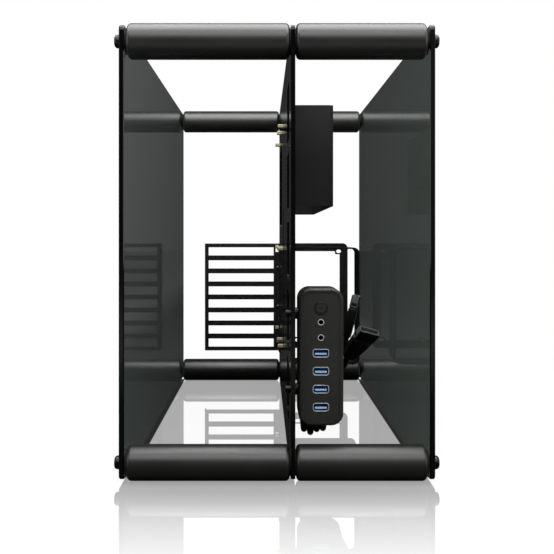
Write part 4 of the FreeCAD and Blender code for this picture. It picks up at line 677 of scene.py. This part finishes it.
def lay_floor():
    """One flat square a little under the tubes. Seen straight on or through glass it is white, with a sharp
    mirror that fades out in front of, behind and beside the case, and a painted shadow, a dark strip, under
    each glass panel. To the object it is a floor with painted shade, dark so undersides stay dark, and
    painted light, pale only well in front and far behind."""
    mesh = bpy.data.meshes.new("floor")
    corners = np.array([(-1, -1), (1, -1), (1, 1), (-1, 1)]) * FLOOR_REACH
    mesh.from_pydata(np.column_stack([corners, np.full(4, -FLOOR_DROP)]).tolist(), [], [(0, 1, 2, 3)])
    floor = bpy.data.objects.new("floor", mesh)
    scene.collection.objects.link(floor)
    gloss = bpy.data.materials.new("white_gloss_acrylic")
    gloss.use_nodes = True
    tree = gloss.node_tree
    tree.nodes.clear()
    spot = add_node(tree, "ShaderNodeTexCoord").outputs["Object"]
    place = add_node(tree, "ShaderNodeSeparateXYZ", {"Vector": spot})
    away = add_node(tree, "ShaderNodeMath", {0: place.outputs["Y"]}, operation="ABSOLUTE")
    sideways = add_node(tree, "ShaderNodeMath", {0: place.outputs["X"]}, operation="ABSOLUTE")

    # White sheet with the object's soft shadow
    white = add_node(tree, "ShaderNodeEmission", {"Strength": 1.0})
    matt = add_node(tree, "ShaderNodeBsdfDiffuse", {"Color": linear("#f4f4f4")})
    distance = add_node(tree, "ShaderNodeVectorMath", {0: spot}, operation="LENGTH")
    shaded = add_node(tree, "ShaderNodeMapRange", {
        "Value": distance.outputs["Value"], **FADES["soft_shadow"]})
    sheet = add_node(tree, "ShaderNodeMixShader", {
        "Fac": shaded.outputs["Result"], 1: white.outputs["Emission"], 2: matt.outputs["BSDF"]})

    # Mirror in the sheet
    mirror = add_node(tree, "ShaderNodeBsdfGlossy", {"Color": linear("#ffffff"), "Roughness": 0.0})
    share = add_node(tree, "ShaderNodeMapRange", {"Value": away.outputs["Value"], **FADES["mirror_along"]})
    beside = add_node(tree, "ShaderNodeMapRange", {
        "Value": sideways.outputs["Value"], **FADES["mirror_beside"]})
    mirrored = add_node(tree, "ShaderNodeMath", {
        0: share.outputs["Result"], 1: beside.outputs["Result"]}, operation="MULTIPLY")
    polished = add_node(tree, "ShaderNodeMixShader", {
        "Fac": mirrored.outputs["Value"], 1: sheet.outputs["Shader"], 2: mirror.outputs["BSDF"]})

    # Painted shadow: a dark strip under each glass panel
    from_glass = add_node(tree, "ShaderNodeMath", {
        0: sideways.outputs["Value"], 1: GLASS_FOOT}, operation="SUBTRACT")
    near = add_node(tree, "ShaderNodeMath", {0: from_glass.outputs["Value"]}, operation="ABSOLUTE")
    under = add_node(tree, "ShaderNodeMapRange", {"Value": near.outputs["Value"], **FADES["painted_shadow_beside"]})
    centred = add_node(tree, "ShaderNodeMath", {0: place.outputs["Y"], 1: STRIP_MIDDLE}, operation="SUBTRACT")
    ends = add_node(tree, "ShaderNodeMath", {0: centred.outputs["Value"]}, operation="ABSOLUTE")
    along = add_node(tree, "ShaderNodeMapRange", {"Value": ends.outputs["Value"], **FADES["painted_shadow_along"]})
    painted_shadow_share = add_node(tree, "ShaderNodeMath", {
        0: under.outputs["Result"], 1: along.outputs["Result"]}, operation="MULTIPLY")
    shadow = add_node(tree, "ShaderNodeBsdfDiffuse", {"Color": linear("#0c0d0c")})
    with_painted_shadow = add_node(tree, "ShaderNodeMixShader", {
        "Fac": painted_shadow_share.outputs["Value"], 1: polished.outputs["Shader"], 2: shadow.outputs["BSDF"]})

    # What the object sees: painted shade, dark round the case, and painted light farther out
    painted_light_in_front = add_node(tree, "ShaderNodeMapRange", {"Value": place.outputs["Y"], **FADES["pale_in_front"]})
    behind = add_node(tree, "ShaderNodeMapRange", {"Value": place.outputs["Y"], **FADES["pale_behind"]})
    rightward = add_node(tree, "ShaderNodeMapRange", {"Value": place.outputs["X"], **FADES["pale_to_right"]})
    pale = add_node(tree, "ShaderNodeMath", {
        0: behind.outputs["Result"], 1: rightward.outputs["Result"], 2: painted_light_in_front.outputs["Result"]},
        operation="MULTIPLY_ADD")
    dark = add_node(tree, "ShaderNodeBsdfDiffuse", {"Color": pale.outputs["Value"]})

    path = add_node(tree, "ShaderNodeLightPath")
    seen = add_node(tree, "ShaderNodeMath", {
        0: path.outputs["Is Camera Ray"], 1: path.outputs["Is Transmission Ray"]}, operation="MAXIMUM")
    either = add_node(tree, "ShaderNodeMixShader", {
        "Fac": seen.outputs["Value"], 1: dark.outputs["BSDF"], 2: with_painted_shadow.outputs["Shader"]})
    add_node(tree, "ShaderNodeOutputMaterial", {"Surface": either.outputs["Shader"]})
    mesh.materials.append(gloss)


lay_floor()
